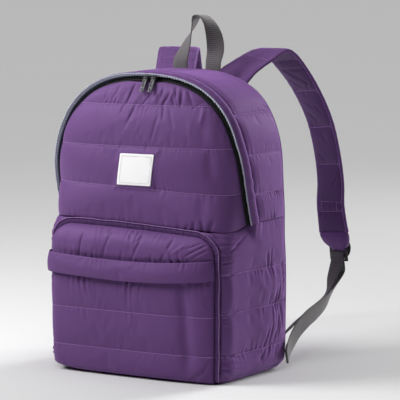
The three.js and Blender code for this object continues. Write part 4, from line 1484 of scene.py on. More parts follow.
@dataclass
class UpperGusset(PaddedPanel):
    """Padded strip over the top and down both upper sides, behind the zip."""

    rows: tuple = (0.256, 0.309, 0.363)
    cells: tuple = (14, 19, 20)
    arch_cells: int = 104
    depth: float = 0.11
    depth_cells: int = 36
    puff: float = 0.0030
    crown: float = 0.002
    row_folds: Folds = Folds(23, 0.0007)
    foot_folds: tuple = (Folds(41, 0.0011, 0.009), Folds(42, 0.0011, 0.009))
    edge_folds: tuple = (Folds(43, 0.0007, 0.008), Folds(44, 0.0009, 0.010))
    edge_fade: float = 0.003
    run: Optional[Array] = None

    def plan(self) -> Quilt:
        """Lays the strip's cloth over its filling.

        Returns:
            The quilt, ready to be filled.
        """
        o = self.outline
        line, self.sewn_columns = o.arch_places(self.rows, self.cells, self.arch_cells)
        share = np.linspace(0.0, 1.0, self.depth_cells + 1)[:, None]
        x, z = line.T
        begin, end = o.zip_line(z) + o.lip_end, o.back_line(z)
        bulge = self.crown * np.sin(np.pi * share)
        rise = np.clip(z - o.arch, 0.0, None) / (o.top - o.arch) * bulge
        y = lerp(begin, end, share)
        grid = np.stack([x * (o.spread(share, z) + bulge / o.half_width), y, z + rise], axis=2)
        self.run = run_length(line)
        run = np.broadcast_to(self.run, y.shape)
        full = fullness(run, self.run[[0, *self.sewn_columns, -1]])
        lift = self.puff * full * self.faded(np.minimum(y - begin, end - y))
        sewn = pinned(y.shape, [0, -1], [0, -1, *self.sewn_columns])
        return self.lay("zip_gusset", grid, lift, sewn, np.stack(np.broadcast_arrays(run, share), axis=2))

    def creased(self, u: Array, v: Array) -> Array:
        """Height of the strip's creases.

        Args:
            u: Places round the arch.
            v: Shares of the way to the back.

        Returns:
            The height.
        """
        deep = v * self.depth
        behind = self.depth - deep
        total = pucker_rows(self.row_folds, deep, u, self.run[self.sewn_columns])
        total += creases(GUSSET_CREASES, deep, u)
        for folds, up in zip(self.foot_folds, (u, self.run[-1] - u)):
            total += puckers(folds, deep, up)
        for folds, away in zip(self.edge_folds, (deep, behind)):
            total += puckers(folds, u, away)
        return total * smooth(0.0, self.edge_fade, np.minimum(deep, behind))


SIDE_CREASES = (
    (28, 155, -0.2, 2.2, 17, -1.4), (36, 160, -0.1, 2.2, 15, -1.2), (48, 100, 0.05, 2.2, 15, -1.7),
    (55, 106, 0.1, 2.2, 17, -1.4), (33, 55, 0.25, 2.2, 15, -1.5), (22, 52, 0.3, 2.2, 13, -1.2),
    (14, 30, 1.2, 2.2, 8, -1.3), (28, 32, 0.9, 2.2, 8, -1.2), (62, 80, -0.1, 2.8, 20, -1.4),
    (66, 132, 0.05, 2.8, 22, -1.3), (-63, 149, 4.0, 3.0, 2.5, -2.0), (-60, 95, 4.0, 3.0, 2.5, -1.9),
    (-62, 38, 3.5, 3.0, 2.5, -1.9), (-58, 190, 1.5, 4.0, 9, -1.9), (-40, 201, 2.5, 4.0, 5, -1.6),
    (42, 130, 0.1, 4.0, 26, 0.6), (41, 84, 0.12, 1.8, 13, 1.0), (52, 70, 0.2, 1.8, 12, -1.3),
    (58, 60, 0.15, 1.8, 11, 1.0), (44, 48, 0.3, 1.8, 12, -1.2), (38, 38, 0.7, 1.8, 9, 0.9),
    (48, 30, 0.8, 1.8, 8, -1.1), (31, 104, 0.1, 1.9, 9, -0.9), (40, 147, -0.2, 1.9, 9, 0.8),
)


@dataclass
class LowerStrip(PaddedPanel):
    """Padded lower sides and the floor, in one strip."""

    rows: tuple = (0.150, 0.096, 0.038)
    cells: tuple = (22, 18, 19, 8)
    corner_cells: int = 6
    floor_cells: int = 40
    depth_cells: int = 51
    puff: float = 0.0036
    row_folds: Folds = Folds(31, 0.0007)
    top_folds: Folds = Folds(37, 0.0008, 0.008)
    front_folds: Folds = Folds(38, 0.0018, 0.016)
    back_folds: Folds = Folds(39, 0.0010, 0.012)
    floor_fade: float = 0.010
    edge_fade: float = 0.003

    def places(self, y: float) -> Array:
        """Points of the strip at one depth.

        Args:
            y: The depth.

        Returns:
            The points from the top of the right side to the top of the left.
        """
        o = self.outline
        floor = float(o.floor(y))
        z = channel_rows([o.seam - o.gap, *self.rows, floor + o.floor_radius], self.cells)
        x = lerp(o.low_half(y), o.meet_half(np.float64(y)), o.draw_in(z) ** 2)
        angle = np.linspace(0.0, np.pi / 2, self.corner_cells + 1)[1:]
        corner_x = o.low_half(y) - o.floor_radius * (1 - np.cos(angle))
        corner_z = floor + o.floor_radius * (1 - np.sin(angle))
        right = np.stack([np.concatenate([x, corner_x]), np.concatenate([z, corner_z])], axis=1)
        floor_x = np.linspace(corner_x[-1], -corner_x[-1], self.floor_cells + 1)[1:-1]
        middle = np.stack([floor_x, np.full_like(floor_x, floor)], axis=1)
        flat = np.concatenate([right, middle, right[::-1] * (-1, 1)])
        lean = (o.back_line(flat[:, 1]) - o.back_y) * max(y, 0.0) / o.back_y
        return np.stack([flat[:, 0], y + lean, flat[:, 1]], axis=1)

    def inside(self, y: Array) -> Array:
        """Distance from the nearer of the strip's front and back seams."""
        return np.minimum(y - self.outline.front_y, self.outline.back_y - y)

    def plan(self) -> Quilt:
        """Lays the strip's cloth over its filling.

        Returns:
            The quilt, ready to be filled.
        """
        o = self.outline
        depths = np.linspace(o.front_y, o.back_y, self.depth_cells + 1)
        grid = np.stack([self.places(y) for y in depths])
        y = np.broadcast_to(depths[:, None], grid.shape[:2])
        z = grid[..., 2]
        ends = sum(self.cells) + 1
        wall = np.zeros(z.shape[1], bool)
        wall[:ends] = wall[-ends:] = True
        full = np.where(wall, fullness(z, [0.0, *sorted(self.rows), o.seam]), 0.0)
        seams = np.cumsum(self.cells)[:-1]
        self.sewn_columns = np.stack([seams, -1 - seams], axis=1).ravel()
        sewn = pinned(z.shape, [0, -1], [0, -1, *self.sewn_columns, *np.nonzero(~wall)[0]])
        marks = np.stack([y, np.where(wall, z, 0.0)], axis=2)
        return self.lay("lower_gusset", grid, self.puff * full * self.faded(self.inside(y)), sewn, marks)

    def creased(self, u: Array, v: Array) -> Array:
        """Height of the strip's creases.

        Args:
            u: Places towards the back.
            v: Places up.

        Returns:
            The height.
        """
        o = self.outline
        total = creases(SIDE_CREASES, u, v) + pucker_rows(self.row_folds, u, v, self.rows)
        total += puckers(self.top_folds, u, o.seam - v)
        total += puckers(self.front_folds, v, u - o.front_y) + puckers(self.back_folds, v, o.back_y - u)
        return total * smooth(0.0, self.floor_fade, v) * smooth(0.0, self.edge_fade, self.inside(u))


@dataclass
class BackPanel(PaddedPanel):
    """Padded back with level rows of stitching."""

    rows: tuple = (0.075, 0.150, 0.225, 0.300, 0.365)
    cells: tuple = (18, 19, 19, 19, 19)
    top_cells: int = 16
    top_power: float = 1.8
    columns: int = 76
    close: float = 0.0015
    lining: float = 0.002
    puff: float = 0.0034
    row_folds: Folds = Folds(45, 0.0004)
    edge_folds: Folds = Folds(49, 0.0009, 0.010)
    left_shift: float = 0.6
    edge_fade: float = 0.004

    def plan(self) -> Quilt:
        """Lays the back's cloth over its filling.

        Returns:
            The quilt, ready to be filled.
        """
        o = self.outline
        limits = [o.floor_lift, *self.rows, o.top - self.close]
        z = closing_rows(limits, self.cells, self.top_cells, self.top_power)[:, None]
        side = np.linspace(1.0, -1.0, self.columns)[None]
        half = o.back_half(z)
        crown = o.back_crown * (1 - side**4) * np.sin(np.pi * ramp(0.0, o.top, z))
        y = o.back_line(z) + o.gap + self.lining + crown
        grid = np.stack(np.broadcast_arrays(side * half, y, z), axis=2)
        full = fullness(grid[..., 2], [o.floor_lift, *self.rows, o.top])
        lift = self.puff * full * self.faded(half - np.abs(grid[..., 0]))
        self.sewn_rows = np.cumsum(self.cells)
        sewn = pinned(lift.shape, [0, -1, *self.sewn_rows], [0, -1])
        return self.lay("back_panel", grid, lift, sewn, grid[..., [0, 2]])

    def creased(self, u: Array, v: Array) -> Array:
        """Height of the back's creases.

        Args:
            u: Places across.
            v: Places up.

        Returns:
            The height.
        """
        near = self.outline.back_half(v) - np.abs(u)
        total = pucker_rows(self.row_folds, u, v, self.rows)
        total += puckers(self.edge_folds, np.where(u > 0, v, v + self.left_shift), near)
        return total * smooth(0.0, self.edge_fade, near)


POCKET_CREASES = (
    (112, 15, 0.8, 2.2, 9, -1.2), (119, 22, 0.5, 2.2, 10, -1.0), (103, 10, 1.2, 2.2, 6, -0.9),
    (-112, 24, -0.9, 2.2, 12, -0.9), (-105, 12, -0.8, 2.2, 8, -0.8), (92, 60, -0.05, 9.0, 44, -3.8),
    (88, 118, -0.05, 8.0, 24, -3.2), (-20, 8, 0.2, 4.0, 6, 0.7),
)
POCKET_TOP_CREASES = (
    (-76, 181, 0.17, 1.9, 15, -1.6), (-34, 183, 0.37, 1.9, 17, -1.3), (16.5, 183, 0.47, 1.9, 18, -1.5),
    (68.5, 193, 0.42, 1.9, 8, -1.3), (106, 187, 1.29, 2.1, 11, -1.8), (104, 195, 1.6, 2.1, 6, -1.3),
    (112, 181.5, 1.35, 2.1, 8, -1.4), (58, 172, 0.5, 1.9, 8, -1.0), (40, 170, 0.2, 1.8, 7, -0.9),
    (-8, 171, 0.2, 1.8, 7, -0.9), (20, 197, 0.6, 2.0, 5, -1.1), (3, 199, -0.4, 2.4, 5, -0.9),
    (82, 187, 1.0, 3.5, 8, 0.9), (-55, 186, 0.25, 8.0, 14, 0.7), (-98, 186, -0.2, 5.0, 14, -0.7),
)


@dataclass
class PocketBinding:
    """Bound seam: up one side of the pocket, round its top and down the other."""

    width: float = 0.0094
    thick: float = 0.0034
    inset: float = 0.0005
    foot: float = 0.0045
    corner_steps: int = 40
    steps: int = 640
    half_profile: tuple = ((-0.5, 0.0), (-0.5, 0.6), (-0.42, 1.0), (-0.3, 0.75), (-0.1, 0.95))
    stitch_wave: float = 0.0043
    stitch_drift: tuple = (0.02, 0.05)
    rough: float = 0.7
    rough_waves: tuple = (0.006, 0.014)
    drift: float = 0.0003
    drift_waves: tuple = (0.03, 0.07)
    side_share: float = 0.025
    depth_share: float = 0.07
    seeds: tuple = (63, 61, 62)
    needle_columns: tuple = (3, 6)
    needle_lift: float = 0.0007
    edge_column: int = 2
    edge_lift: float = -0.0001
    edge_pitch: float = 0.0027

    def path(self, half_width: float, top: float, radius: float) -> Array:
        """X and Z along the seam's middle, from the right foot to the left.

        Args:
            half_width: Half width of the pocket.
            top: Its top.
            radius: Radius of its upper corners.

        Returns:
            The places at equal steps.
        """
        x, high, bend = (size + self.width / 2 - self.inset for size in (half_width, top, radius))
        turn = np.linspace(0.0, np.pi / 2, self.corner_steps)
        corner = np.stack([x - bend * (1 - np.cos(turn)), high - bend * (1 - np.sin(turn))], axis=1)
        right = np.concatenate([[[x, self.foot]], corner])
        return even_steps(np.concatenate([right, right[::-1] * (-1, 1)]), self.steps)

    def make(self, path: Array, back: float) -> None:
        """Makes the seam along its path and stitches it.

        Args:
            path: X and Z along its middle.
            back: Depth of the wall that it lies on.
        """
        along = unit(np.gradient(path, axis=0))
        run = run_length(path)
        stitch, small, wander = (Waves(seed) for seed in self.seeds)
        rough = np.sin(2 * np.pi * run / self.stitch_wave + stitch.along(run, *self.stitch_drift))
        rough += self.rough * small.along(run, *self.rough_waves)
        drift = self.drift * wander.along(run, *self.drift_waves)
        profile = [*self.half_profile, *((-a, b) for a, b in reversed(self.half_profile))]
        sections = []
        for a, b in reversed(profile):
            side = a * self.width * (1 + self.side_share * rough) + drift
            depth = back - self.thick * b * (1 + self.depth_share * rough)
            x, z = path[:, 0] + along[:, 1] * side, path[:, 1] - along[:, 0] * side
            sections.append(np.stack([x, depth, z], axis=1))
        grid = SLUMP.settle(np.stack(sections, axis=1))
        obj = grid_object("pocket_binding_cloth", grid, wrap=True)
        soften(obj, 1)
        normals = grid_normals(grid, wrap=True)
        # The needle rows sit in the binding's grooves; their near-black thread paints the shade there.
        for column in self.needle_columns:
            BINDING_THREAD.sew(grid[:, column], normals[:, column], self.needle_lift)
        edge = self.edge_column
        BODY_THREAD.sew(grid[:, edge], normals[:, edge], self.edge_lift, self.edge_pitch)
        hand_over(obj, PIPING, "pocket_binding")


@dataclass
class PocketFlap:
    """The band over the pocket's mouth, a flat tube from the left end to the right."""

    height: float = 0.027
    sag: float = 0.008
    ends: float = 0.12
    end_power: float = 3.0
    space: tuple = (0.0003, 0.0011)
    stand_off: float = 0.005
    droop: float = 0.003
    puff: float = 0.0024
    lining: float = -0.002
    tuck: float = 0.2
    samples: int = 721
    steps: int = 110
    outer: int = 13
    inner: int = 9
    inner_mark: float = 3.0
    pressure: float = 0.4
    folds: Folds = Folds(59, 0.0007)

    def creased(self, u: Array, v: Array) -> Array:
        """Height of the folds below the flap's upper seam."""
        return puckers(self.folds, u, np.where(v < 1.0, (1 - v) * self.height / 2, -1.0))

    def plan(self, pocket: "Pocket") -> Quilt:
        """Lays the flap's cloth over the pocket's mouth.

        Args:
            pocket: The pocket that it closes.

        Returns:
            The quilt, ready to be filled.
        """
        angles = np.linspace(np.pi - self.ends, self.ends, self.samples)
        across, ahead = np.cos(angles), np.sin(angles)
        outward = unit(np.stack([across**self.end_power, -np.abs(ahead), np.zeros_like(angles)], axis=1))
        outside = [(up, True) for up in np.linspace(1.0, -1.0, self.outer)]
        ring = outside + [(up, False) for up in np.linspace(-1.0, 1.0, self.inner)]
        lines = []
        for up, outer in ring:
            z = pocket.mouth + self.sag * across**2 + up * self.height / 2
            off = self.stand_off + lerp(*self.space, ahead) + self.droop * (1 - up) / 2
            off = off + (self.puff * math.cos(up * math.pi / 2) if outer else self.lining)
            off = off * lerp(self.tuck, 1.0, smooth(0.0, 1.0, ahead))
            point = pocket.point(np.minimum(z, pocket.mouth), angles) + outward * off[:, None]
            point[:, 2] = z
            lines.append(even_steps(point, self.steps))
        grid = np.stack(lines, axis=1)
        run = run_length(grid[:, self.outer // 2])[:, None]
        place = np.array([up if outer else self.inner_mark for up, outer in ring])
        marks = np.stack(np.broadcast_arrays(run, place), axis=2)
        sewn = pinned(grid.shape[:2], [0, -1], [0, *range(self.outer, len(ring))])
        return Quilt("pocket_flap", grid, sewn, marks, self.creased, wrap=True, pressure=self.pressure)


@dataclass
class Pocket:
    """Front pocket: its front, its gathered top, the flap over its mouth and the bound seam round it."""

    outline: Outline
    half_width: float = 0.128
    top: float = 0.2085
    radius: float = 0.028
    foot: float = 0.0012
    foot_round: float = 0.007
    foot_cells: int = 6
    crown: float = 0.020
    foot_crown: float = 0.015
    crown_z: float = 0.096
    crown_power: float = 3.0
    powers: tuple = (6.0, 2.4)
    power_turn: tuple = (-0.5, 0.6)
    seam_depth: float = 0.002
    samples: int = 361
    mouth: float = 0.150
    mouth_gap: float = 0.0002
    under_flap: float = 0.01
    top_cells: int = 24
    top_power: float = 1.6
    puff: float = 0.0020
    fade: float = 0.014
    rows: tuple = (0.038, 0.092)
    cells: tuple = (8, 18, 19)
    columns: int = 97
    row_folds: Folds = Folds(52, 0.0005)
    mouth_folds: Folds = Folds(55, 0.0034, 0.010)
    mouth_folds_x: tuple = (-0.12, -0.07)
    edge_folds: Folds = Folds(56, 0.0013, 0.009)
    edge_left: float = 0.4
    left_shift: float = 0.6
    flap_folds: Folds = Folds(57, 0.0020, 0.008)
    top_folds: Folds = Folds(58, 0.0010, 0.010)
    folds_under: float = 0.004
    front_dent: tuple = (0.0022, 0.007)
    top_dent: tuple = (0.0018, 0.005)
    edge_fade: float = 0.004
    foot_fade: float = 0.006
    flap: PocketFlap = field(default_factory=PocketFlap)
    binding: PocketBinding = field(default_factory=PocketBinding)
    quilts: Sequence[Quilt] = ()

    def half(self, z: Array) -> Array:
        """Half width of the pocket at a height."""
        return self.half_width - self.radius * rounded(ramp(self.top - self.radius, self.top, z))

    def stand(self, z: Array) -> Array:
        """How far the middle of the pocket stands forward at a height.

        Args:
            z: The height.

        Returns:
            The distance.
        """
        up = ramp(self.mouth, self.top, z)
        under = 1.0 - ramp(self.foot, self.foot + self.foot_round, z)
        crown = lerp(self.foot_crown, self.crown, ramp(0.0, self.crown_z, z))
        return crown * np.sqrt(1 - under**2) * np.sqrt(1 - up**self.crown_power) + self.outline.gap

    def point(self, z: Array, angle: Array) -> Array:
        """Points at a height and an angle from the right edge to the left.

        Args:
            z: The height.
            angle: The angle.

        Returns:
            The points.
        """
        radius = super_radius(angle, lerp(*self.powers, smooth(*self.power_turn, np.cos(angle))))
        z = np.broadcast_to(z, np.shape(angle))
        seam = self.outline.front_y - self.outline.gap - self.seam_depth
        x = self.half(z) * radius * np.cos(angle)
        return np.stack([x, seam - self.stand(z) * radius * np.sin(angle), z], axis=-1)

    def section(self, z: float) -> Array:
        """Evenly spaced points across the pocket at a height, from left to right."""
        return even_steps(self.point(np.float64(z), np.linspace(np.pi, 0.0, self.samples)), self.columns)

    def row_places(self) -> list:
        """Grid rows of the pocket front that are stitched."""
        return (np.cumsum(self.cells[:-1]) + self.foot_cells).tolist()

    def quilt(self, node: str, heights: Array, limits: Sequence[float], held: Sequence[int],
              detail: Callable) -> Quilt:
        """Lays one sheet of the pocket over its filling.

        Args:
            node: Solid that it stands for.
            heights: Its rows.
            limits: Rows between which it is filled.
            held: Rows that are sewn down.
            detail: Its creases.

        Returns:
            The quilt, ready to be filled.
        """
        grid = np.stack([self.section(z) for z in heights])
        x, z = grid[..., 0], grid[..., 2]
        lift = self.puff * fullness(z, limits) * np.sqrt(ramp(0.0, self.fade, self.half(z) - np.abs(x)))
        puffed = grid + grid_normals(grid) * lift[..., None]
        return Quilt(node, puffed, pinned(z.shape, held, [0, -1]), grid[..., [0, 2]], detail)

    def plan(self) -> Sequence[Quilt]:
        """Lays the pocket's cloth over its filling.

        Returns:
            The quilts of the front, the top and the flap.
        """
        low, high = self.mouth - self.mouth_gap, self.mouth + self.mouth_gap
        bend = self.foot + self.foot_round
        foot = self.foot + self.foot_round * np.linspace(0.0, 1.0, self.foot_cells + 1)[:-1] ** 2
        front = np.concatenate([foot, channel_rows([bend, *self.rows, low], self.cells)])
        over = closing_rows([high, self.top], [], self.top_cells, self.top_power)
        limits = [self.foot, *self.rows, low + self.under_flap]
        self.quilts = (
            self.quilt("pocket_front", front, limits, [0, -1, 1, *self.row_places()], self.creased),
            self.quilt("pocket_top", over, [high, self.top], [0, -1], self.gathered),
            self.flap.plan(self),
        )
        return self.quilts

    def flap_line(self, x: Array) -> Array:
        """Height of the flap's middle at a place across."""
        return self.mouth + self.flap.sag * (x / self.half_width) ** 2

    def dent(self, size: tuple, away: Array) -> Array:
        """Hollow that the flap's edge presses into the cloth, from its depth and reach."""
        depth, reach = size
        return -depth * np.exp(-((away / reach) ** 2))

    def creased(self, u: Array, v: Array) -> Array:
        """Height of the creases in the pocket's front.

        Args:
            u: Places across.
            v: Places up.

        Returns:
            The height.
        """
        near = self.half(v) - np.abs(u)
        drop = self.flap_line(u) - self.flap.height / 2 - v
        total = creases(POCKET_CREASES, u, v) + pucker_rows(self.row_folds, u, v, self.rows)
        total += puckers(self.mouth_folds, u, drop + self.folds_under) * smooth(*self.mouth_folds_x, u)
        total += self.dent(self.front_dent, drop)
        edge = puckers(self.edge_folds, np.where(u > 0, v, v + self.left_shift), near)
        total += edge * np.where(u > 0, 1.0, self.edge_left)
        return total * smooth(0.0, self.edge_fade, near) * smooth(self.foot, self.foot + self.foot_fade, v)

    def gathered(self, u: Array, v: Array) -> Array:
        """Height of the gathers in the pocket's top.

        Args:
            u: Places across.
            v: Places up.

        Returns:
            The height.
        """
        near = np.minimum(self.half(v) - np.abs(u), self.top - v)
        rise = v - self.flap_line(u) - self.flap.height / 2
        total = creases(POCKET_TOP_CREASES, u, v) + puckers(self.flap_folds, u, rise + self.folds_under)
        total += puckers(self.top_folds, u, self.top - v) + self.dent(self.top_dent, rise)
        return total * smooth(0.0, self.edge_fade, near)

    def dress(self) -> None:
        """Stitches the pocket, hands its cloth over and makes its bound seam."""
        self.quilts[0].sew(self.row_places())
        for quilt in self.quilts:
            quilt.done()
        path = self.binding.path(self.half_width, self.top, self.radius)
        self.binding.make(path, self.outline.front_y - self.outline.gap)


@dataclass
class LowerFront:
    """The plain lower front wall behind the pocket."""

    outline: Outline
    foot: float = 0.006
    band: float = 0.0002
    steps: tuple = (30, 40)
    thick: float = 0.002

    def make(self) -> None:
        """Makes the wall as one flat sheet."""
        o = self.outline
        rows, columns = self.steps
        z = np.linspace(self.foot, o.seam - self.band, rows)[:, None]
        edge = np.float64(o.front_y)
        half = lerp(o.corner_half(edge, z), o.meet_half(edge), o.draw_in(z) ** 2) - self.band - o.gap
        x = np.linspace(-1.0, 1.0, columns)[None] * half
        grid = SLUMP.settle(np.stack(np.broadcast_arrays(x, o.front_y, z), axis=2))
        obj = grid_object("front_wall_cloth", grid)
        thicken(obj, self.thick)
        hand_over(obj, PURPLE, "front_wall_lower")


@dataclass
class Label:
    """Plain white patch on the front, stitched near its edges."""

    outline: Outline
    size: tuple = (0.055, 0.0435)
    x: float = 0.004
    z: float = 0.2878
    skew: float = 0.0038
    lift: float = 0.0040
    tilt: float = 0.0006
    bow: float = 0.0003
    thick: float = 0.0008
    border: float = 0.0035
    border_steps: int = 161
    steps: tuple = (23, 19)
    seed: int = 71
    wave: float = 0.0002
    wave_lean: float = 0.7
    wave_lengths: tuple = (0.02, 0.04, 4)
    press_edge: tuple = (-0.001, 0.009)
    press_behind: float = 0.0008
    press_share: float = 0.8
    press_depth: float = 0.01

    def surface(self, x: Array, z: Array) -> Array:
        """Depth of the patch's face at a place."""
        bow = self.bow * np.cos((x - self.x) / self.size[0] * np.pi)
        return self.outline.front_line(z) - self.lift + self.tilt * (z - self.z) / self.size[1] - bow

    def lean(self, z: Array) -> Array:
        """How far the patch is sewn aslant at a height."""
        return self.skew * (z - self.z) / self.size[1]

    def press(self, quilt: Quilt) -> None:
        """Presses the cloth under the patch flat behind it.

        Args:
            quilt: The front panel's quilt.
        """
        x, y, z = np.moveaxis(quilt.grid, 2, 0)
        over_x = np.abs(x - self.x - self.lean(z)) - self.size[0] / 2
        over_z = np.abs(z - self.z) - self.size[1] / 2
        share = 1.0 - smooth(*self.press_edge, np.maximum(over_x, over_z))
        flat = self.surface(x, z) + self.press_behind
        pressed = np.where(y < flat, flat, lerp(y, flat, self.press_share))
        inside = y > self.outline.front_line(z) + self.press_depth
        quilt.grid[..., 1] = np.where(inside, y, lerp(y, pressed, share))

    def make(self) -> None:
        """Makes the patch and its stitched border."""
        half = np.array(self.size) / 2
        x = np.linspace(self.x - half[0], self.x + half[0], self.steps[0])[None]
        z = np.linspace(self.z - half[1], self.z + half[1], self.steps[1])[:, None]
        x = x + self.lean(z)
        wave = self.wave * Waves(self.seed).along(x + z * self.wave_lean, *self.wave_lengths)
        grid = np.stack(np.broadcast_arrays(x, self.surface(x, z) + wave, z), axis=2)
        obj = grid_object("label_patch", grid)
        soften(obj, 1)
        thicken(obj, self.thick)
        corners = np.array([(-1, -1), (1, -1), (1, 1), (-1, 1), (-1, -1)], float)
        flat = even_steps(corners * (half - self.border) + (self.x, self.z), self.border_steps)
        flat[:, 0] += self.lean(flat[:, 1])
        path = np.stack([flat[:, 0], self.surface(*flat.T), flat[:, 1]], axis=1)
        PATCH_THREAD.sew(path, np.broadcast_to(np.array([0.0, -1.0, 0.0]), path.shape))
        hand_over(obj, PATCH, "label")


# Zip
@dataclass
class ZipSliders:
    """Two sliders with the pulls that hang on them, modelled once and copied."""

    slider_x: tuple = (0.003, 0.0158)
    pin: tuple = (-0.049, 0.413)
    tilt: float = 30.0
    lift: float = 0.0007
    body: Block = Block((0.0098, 0.0075, 0.0022), (0, 0.00375, 0.0015), 0.0006)
    crown: Block = Block((0.0052, 0.0062, 0.0014), (0, 0.0038, 0.0029), 0.0005)
    ear: Block = Block((0.0011, 0.0085, 0.0038), (0.00435, 0.0027, 0), 0.0004)
    pin_bar: Bar = Bar(0.0008, 0.0087)
    tongue: Block = Block((0.007, 0.0014, 0.0205), (0, 0, -0.01175), 0.00045)
    knuckle: Bar = Bar(0.0019, 0.007)
    bore: Bar = Bar(0.00115, 0.02)
    hole: Bar = Bar(0.0017, 0.01, (0, 0, -0.0184), "Y")
    hollow: Block = Block((0.0038, 0.01, 0.0095), (0, -0.0052, -0.0092), 0.0006)

    def model_body(self, foot: tuple, slope: float) -> Object:
        """Models a slider on the middle plane.

        Args:
            foot: Front edge of the tape under it.
            slope: Slope of the tape.

        Returns:
            The slider.
        """
        body = Bench.block(self.body)
        Bench.combine(body, Bench.block(self.crown), "UNION")
        body.data.transform(Matrix.Translation(foot) @ Matrix.Rotation(slope, 4, "X"))
        y, z = self.pin
        x, behind, _ = self.ear.place
        for sign in (-1, 1):
            ear = self.ear._replace(place=(sign * x, y + behind, z))
            Bench.combine(body, Bench.block(ear), "UNION")
        Bench.combine(body, Bench.bar(self.pin_bar._replace(place=(0, y, z))), "UNION")
        return body

    def model_pull(self) -> Object:
        """Models a pull that hangs from the origin.

        Returns:
            The pull.
        """
        pull = Bench.block(self.tongue)
        Bench.combine(pull, Bench.bar(self.knuckle), "UNION")
        Bench.combine(pull, Bench.bar(self.bore), "DIFFERENCE")
        Bench.combine(pull, Bench.bar(self.hole), "DIFFERENCE")
        Bench.combine(pull, Bench.block(self.hollow), "DIFFERENCE")
        pull.data.transform(Matrix.Rotation(-math.radians(self.tilt), 4, "X"))
        return pull

    def make(self, foot: tuple, slope: float) -> None:
        """Models a slider and a pull and places the copies.

        Args:
            foot: Front edge of the tape on the middle plane.
            slope: Slope of the tape there.
        """
        x, y, z = foot
        body, pull = self.model_body((x, y, z + self.lift), slope), self.model_pull()
        for side, x in zip(Side, self.slider_x):
            name = side.name.lower()
            slider = Bench.copy(body, f"zip_slider_{name}", Matrix.Translation((x, 0, 0)))
            hand_over(slider, GUNMETAL, f"slider_{name}")
            hanging = Bench.copy(pull, f"zip_pull_{name}", Matrix.Translation((x, *self.pin)))
            hand_over(hanging, GUNMETAL, f"pull_{name}", f"pull_{name}")
        for source in (body, pull):
            bpy.data.objects.remove(source)


@dataclass
class ZipCoil:
    """Two meshed rows of small teeth along the tape's middle."""

    ends: float = 0.002
    pitch: float = 0.00115
    samples: int = 3000
    look_ahead: int = 4
    lift: float = 0.0008
    apart: float = 0.0011
    tooth: tuple = (0.00042, 0.0016)
    levels: tuple = ((0.0, 1.0), (0.0009, 1.0), (0.0013, 0.65))

    def make(self, tape: Array) -> None:
        """Makes the teeth as one piece.

        Args:
            tape: The tape's grid, from front to back.
        """
        row = len(tape) // 2
        middle = even_steps(tape[row], self.samples)
        run = run_length(middle)
        at = np.arange(self.ends, run[-1] - self.ends, self.pitch)
        index = np.searchsorted(run, at)
        ahead = np.minimum(index + self.look_ahead, self.samples - 1)
        along = unit(middle[ahead] - middle[np.maximum(index - self.look_ahead, 0)])
        even = np.linspace(0, run[-1], tape.shape[1])
        across = square_to(at_run(tape[row + 1] - tape[row - 1], even, at), along)
        out = np.cross(along, across)
        apart = np.where(np.arange(len(at)) % 2, self.apart, -self.apart)
        place = middle[index] + out * self.lift + across * apart[:, None]
        length, width = self.tooth
        corners = []
        for rise, scale in self.levels:
            for a, b in ((-1, -1), (1, -1), (1, 1), (-1, 1)):
                flat = place + along * (a * length * scale) + across * (b * width * scale)
                corners.append(flat + out * rise)
        points = np.stack(corners, axis=1)
        one = grid_faces(len(self.levels), 4, wrap=True)
        obj = mesh_object("zip_coil", points, repeated(one, points.shape[1], len(points)))
        hand_over(obj, TEETH)


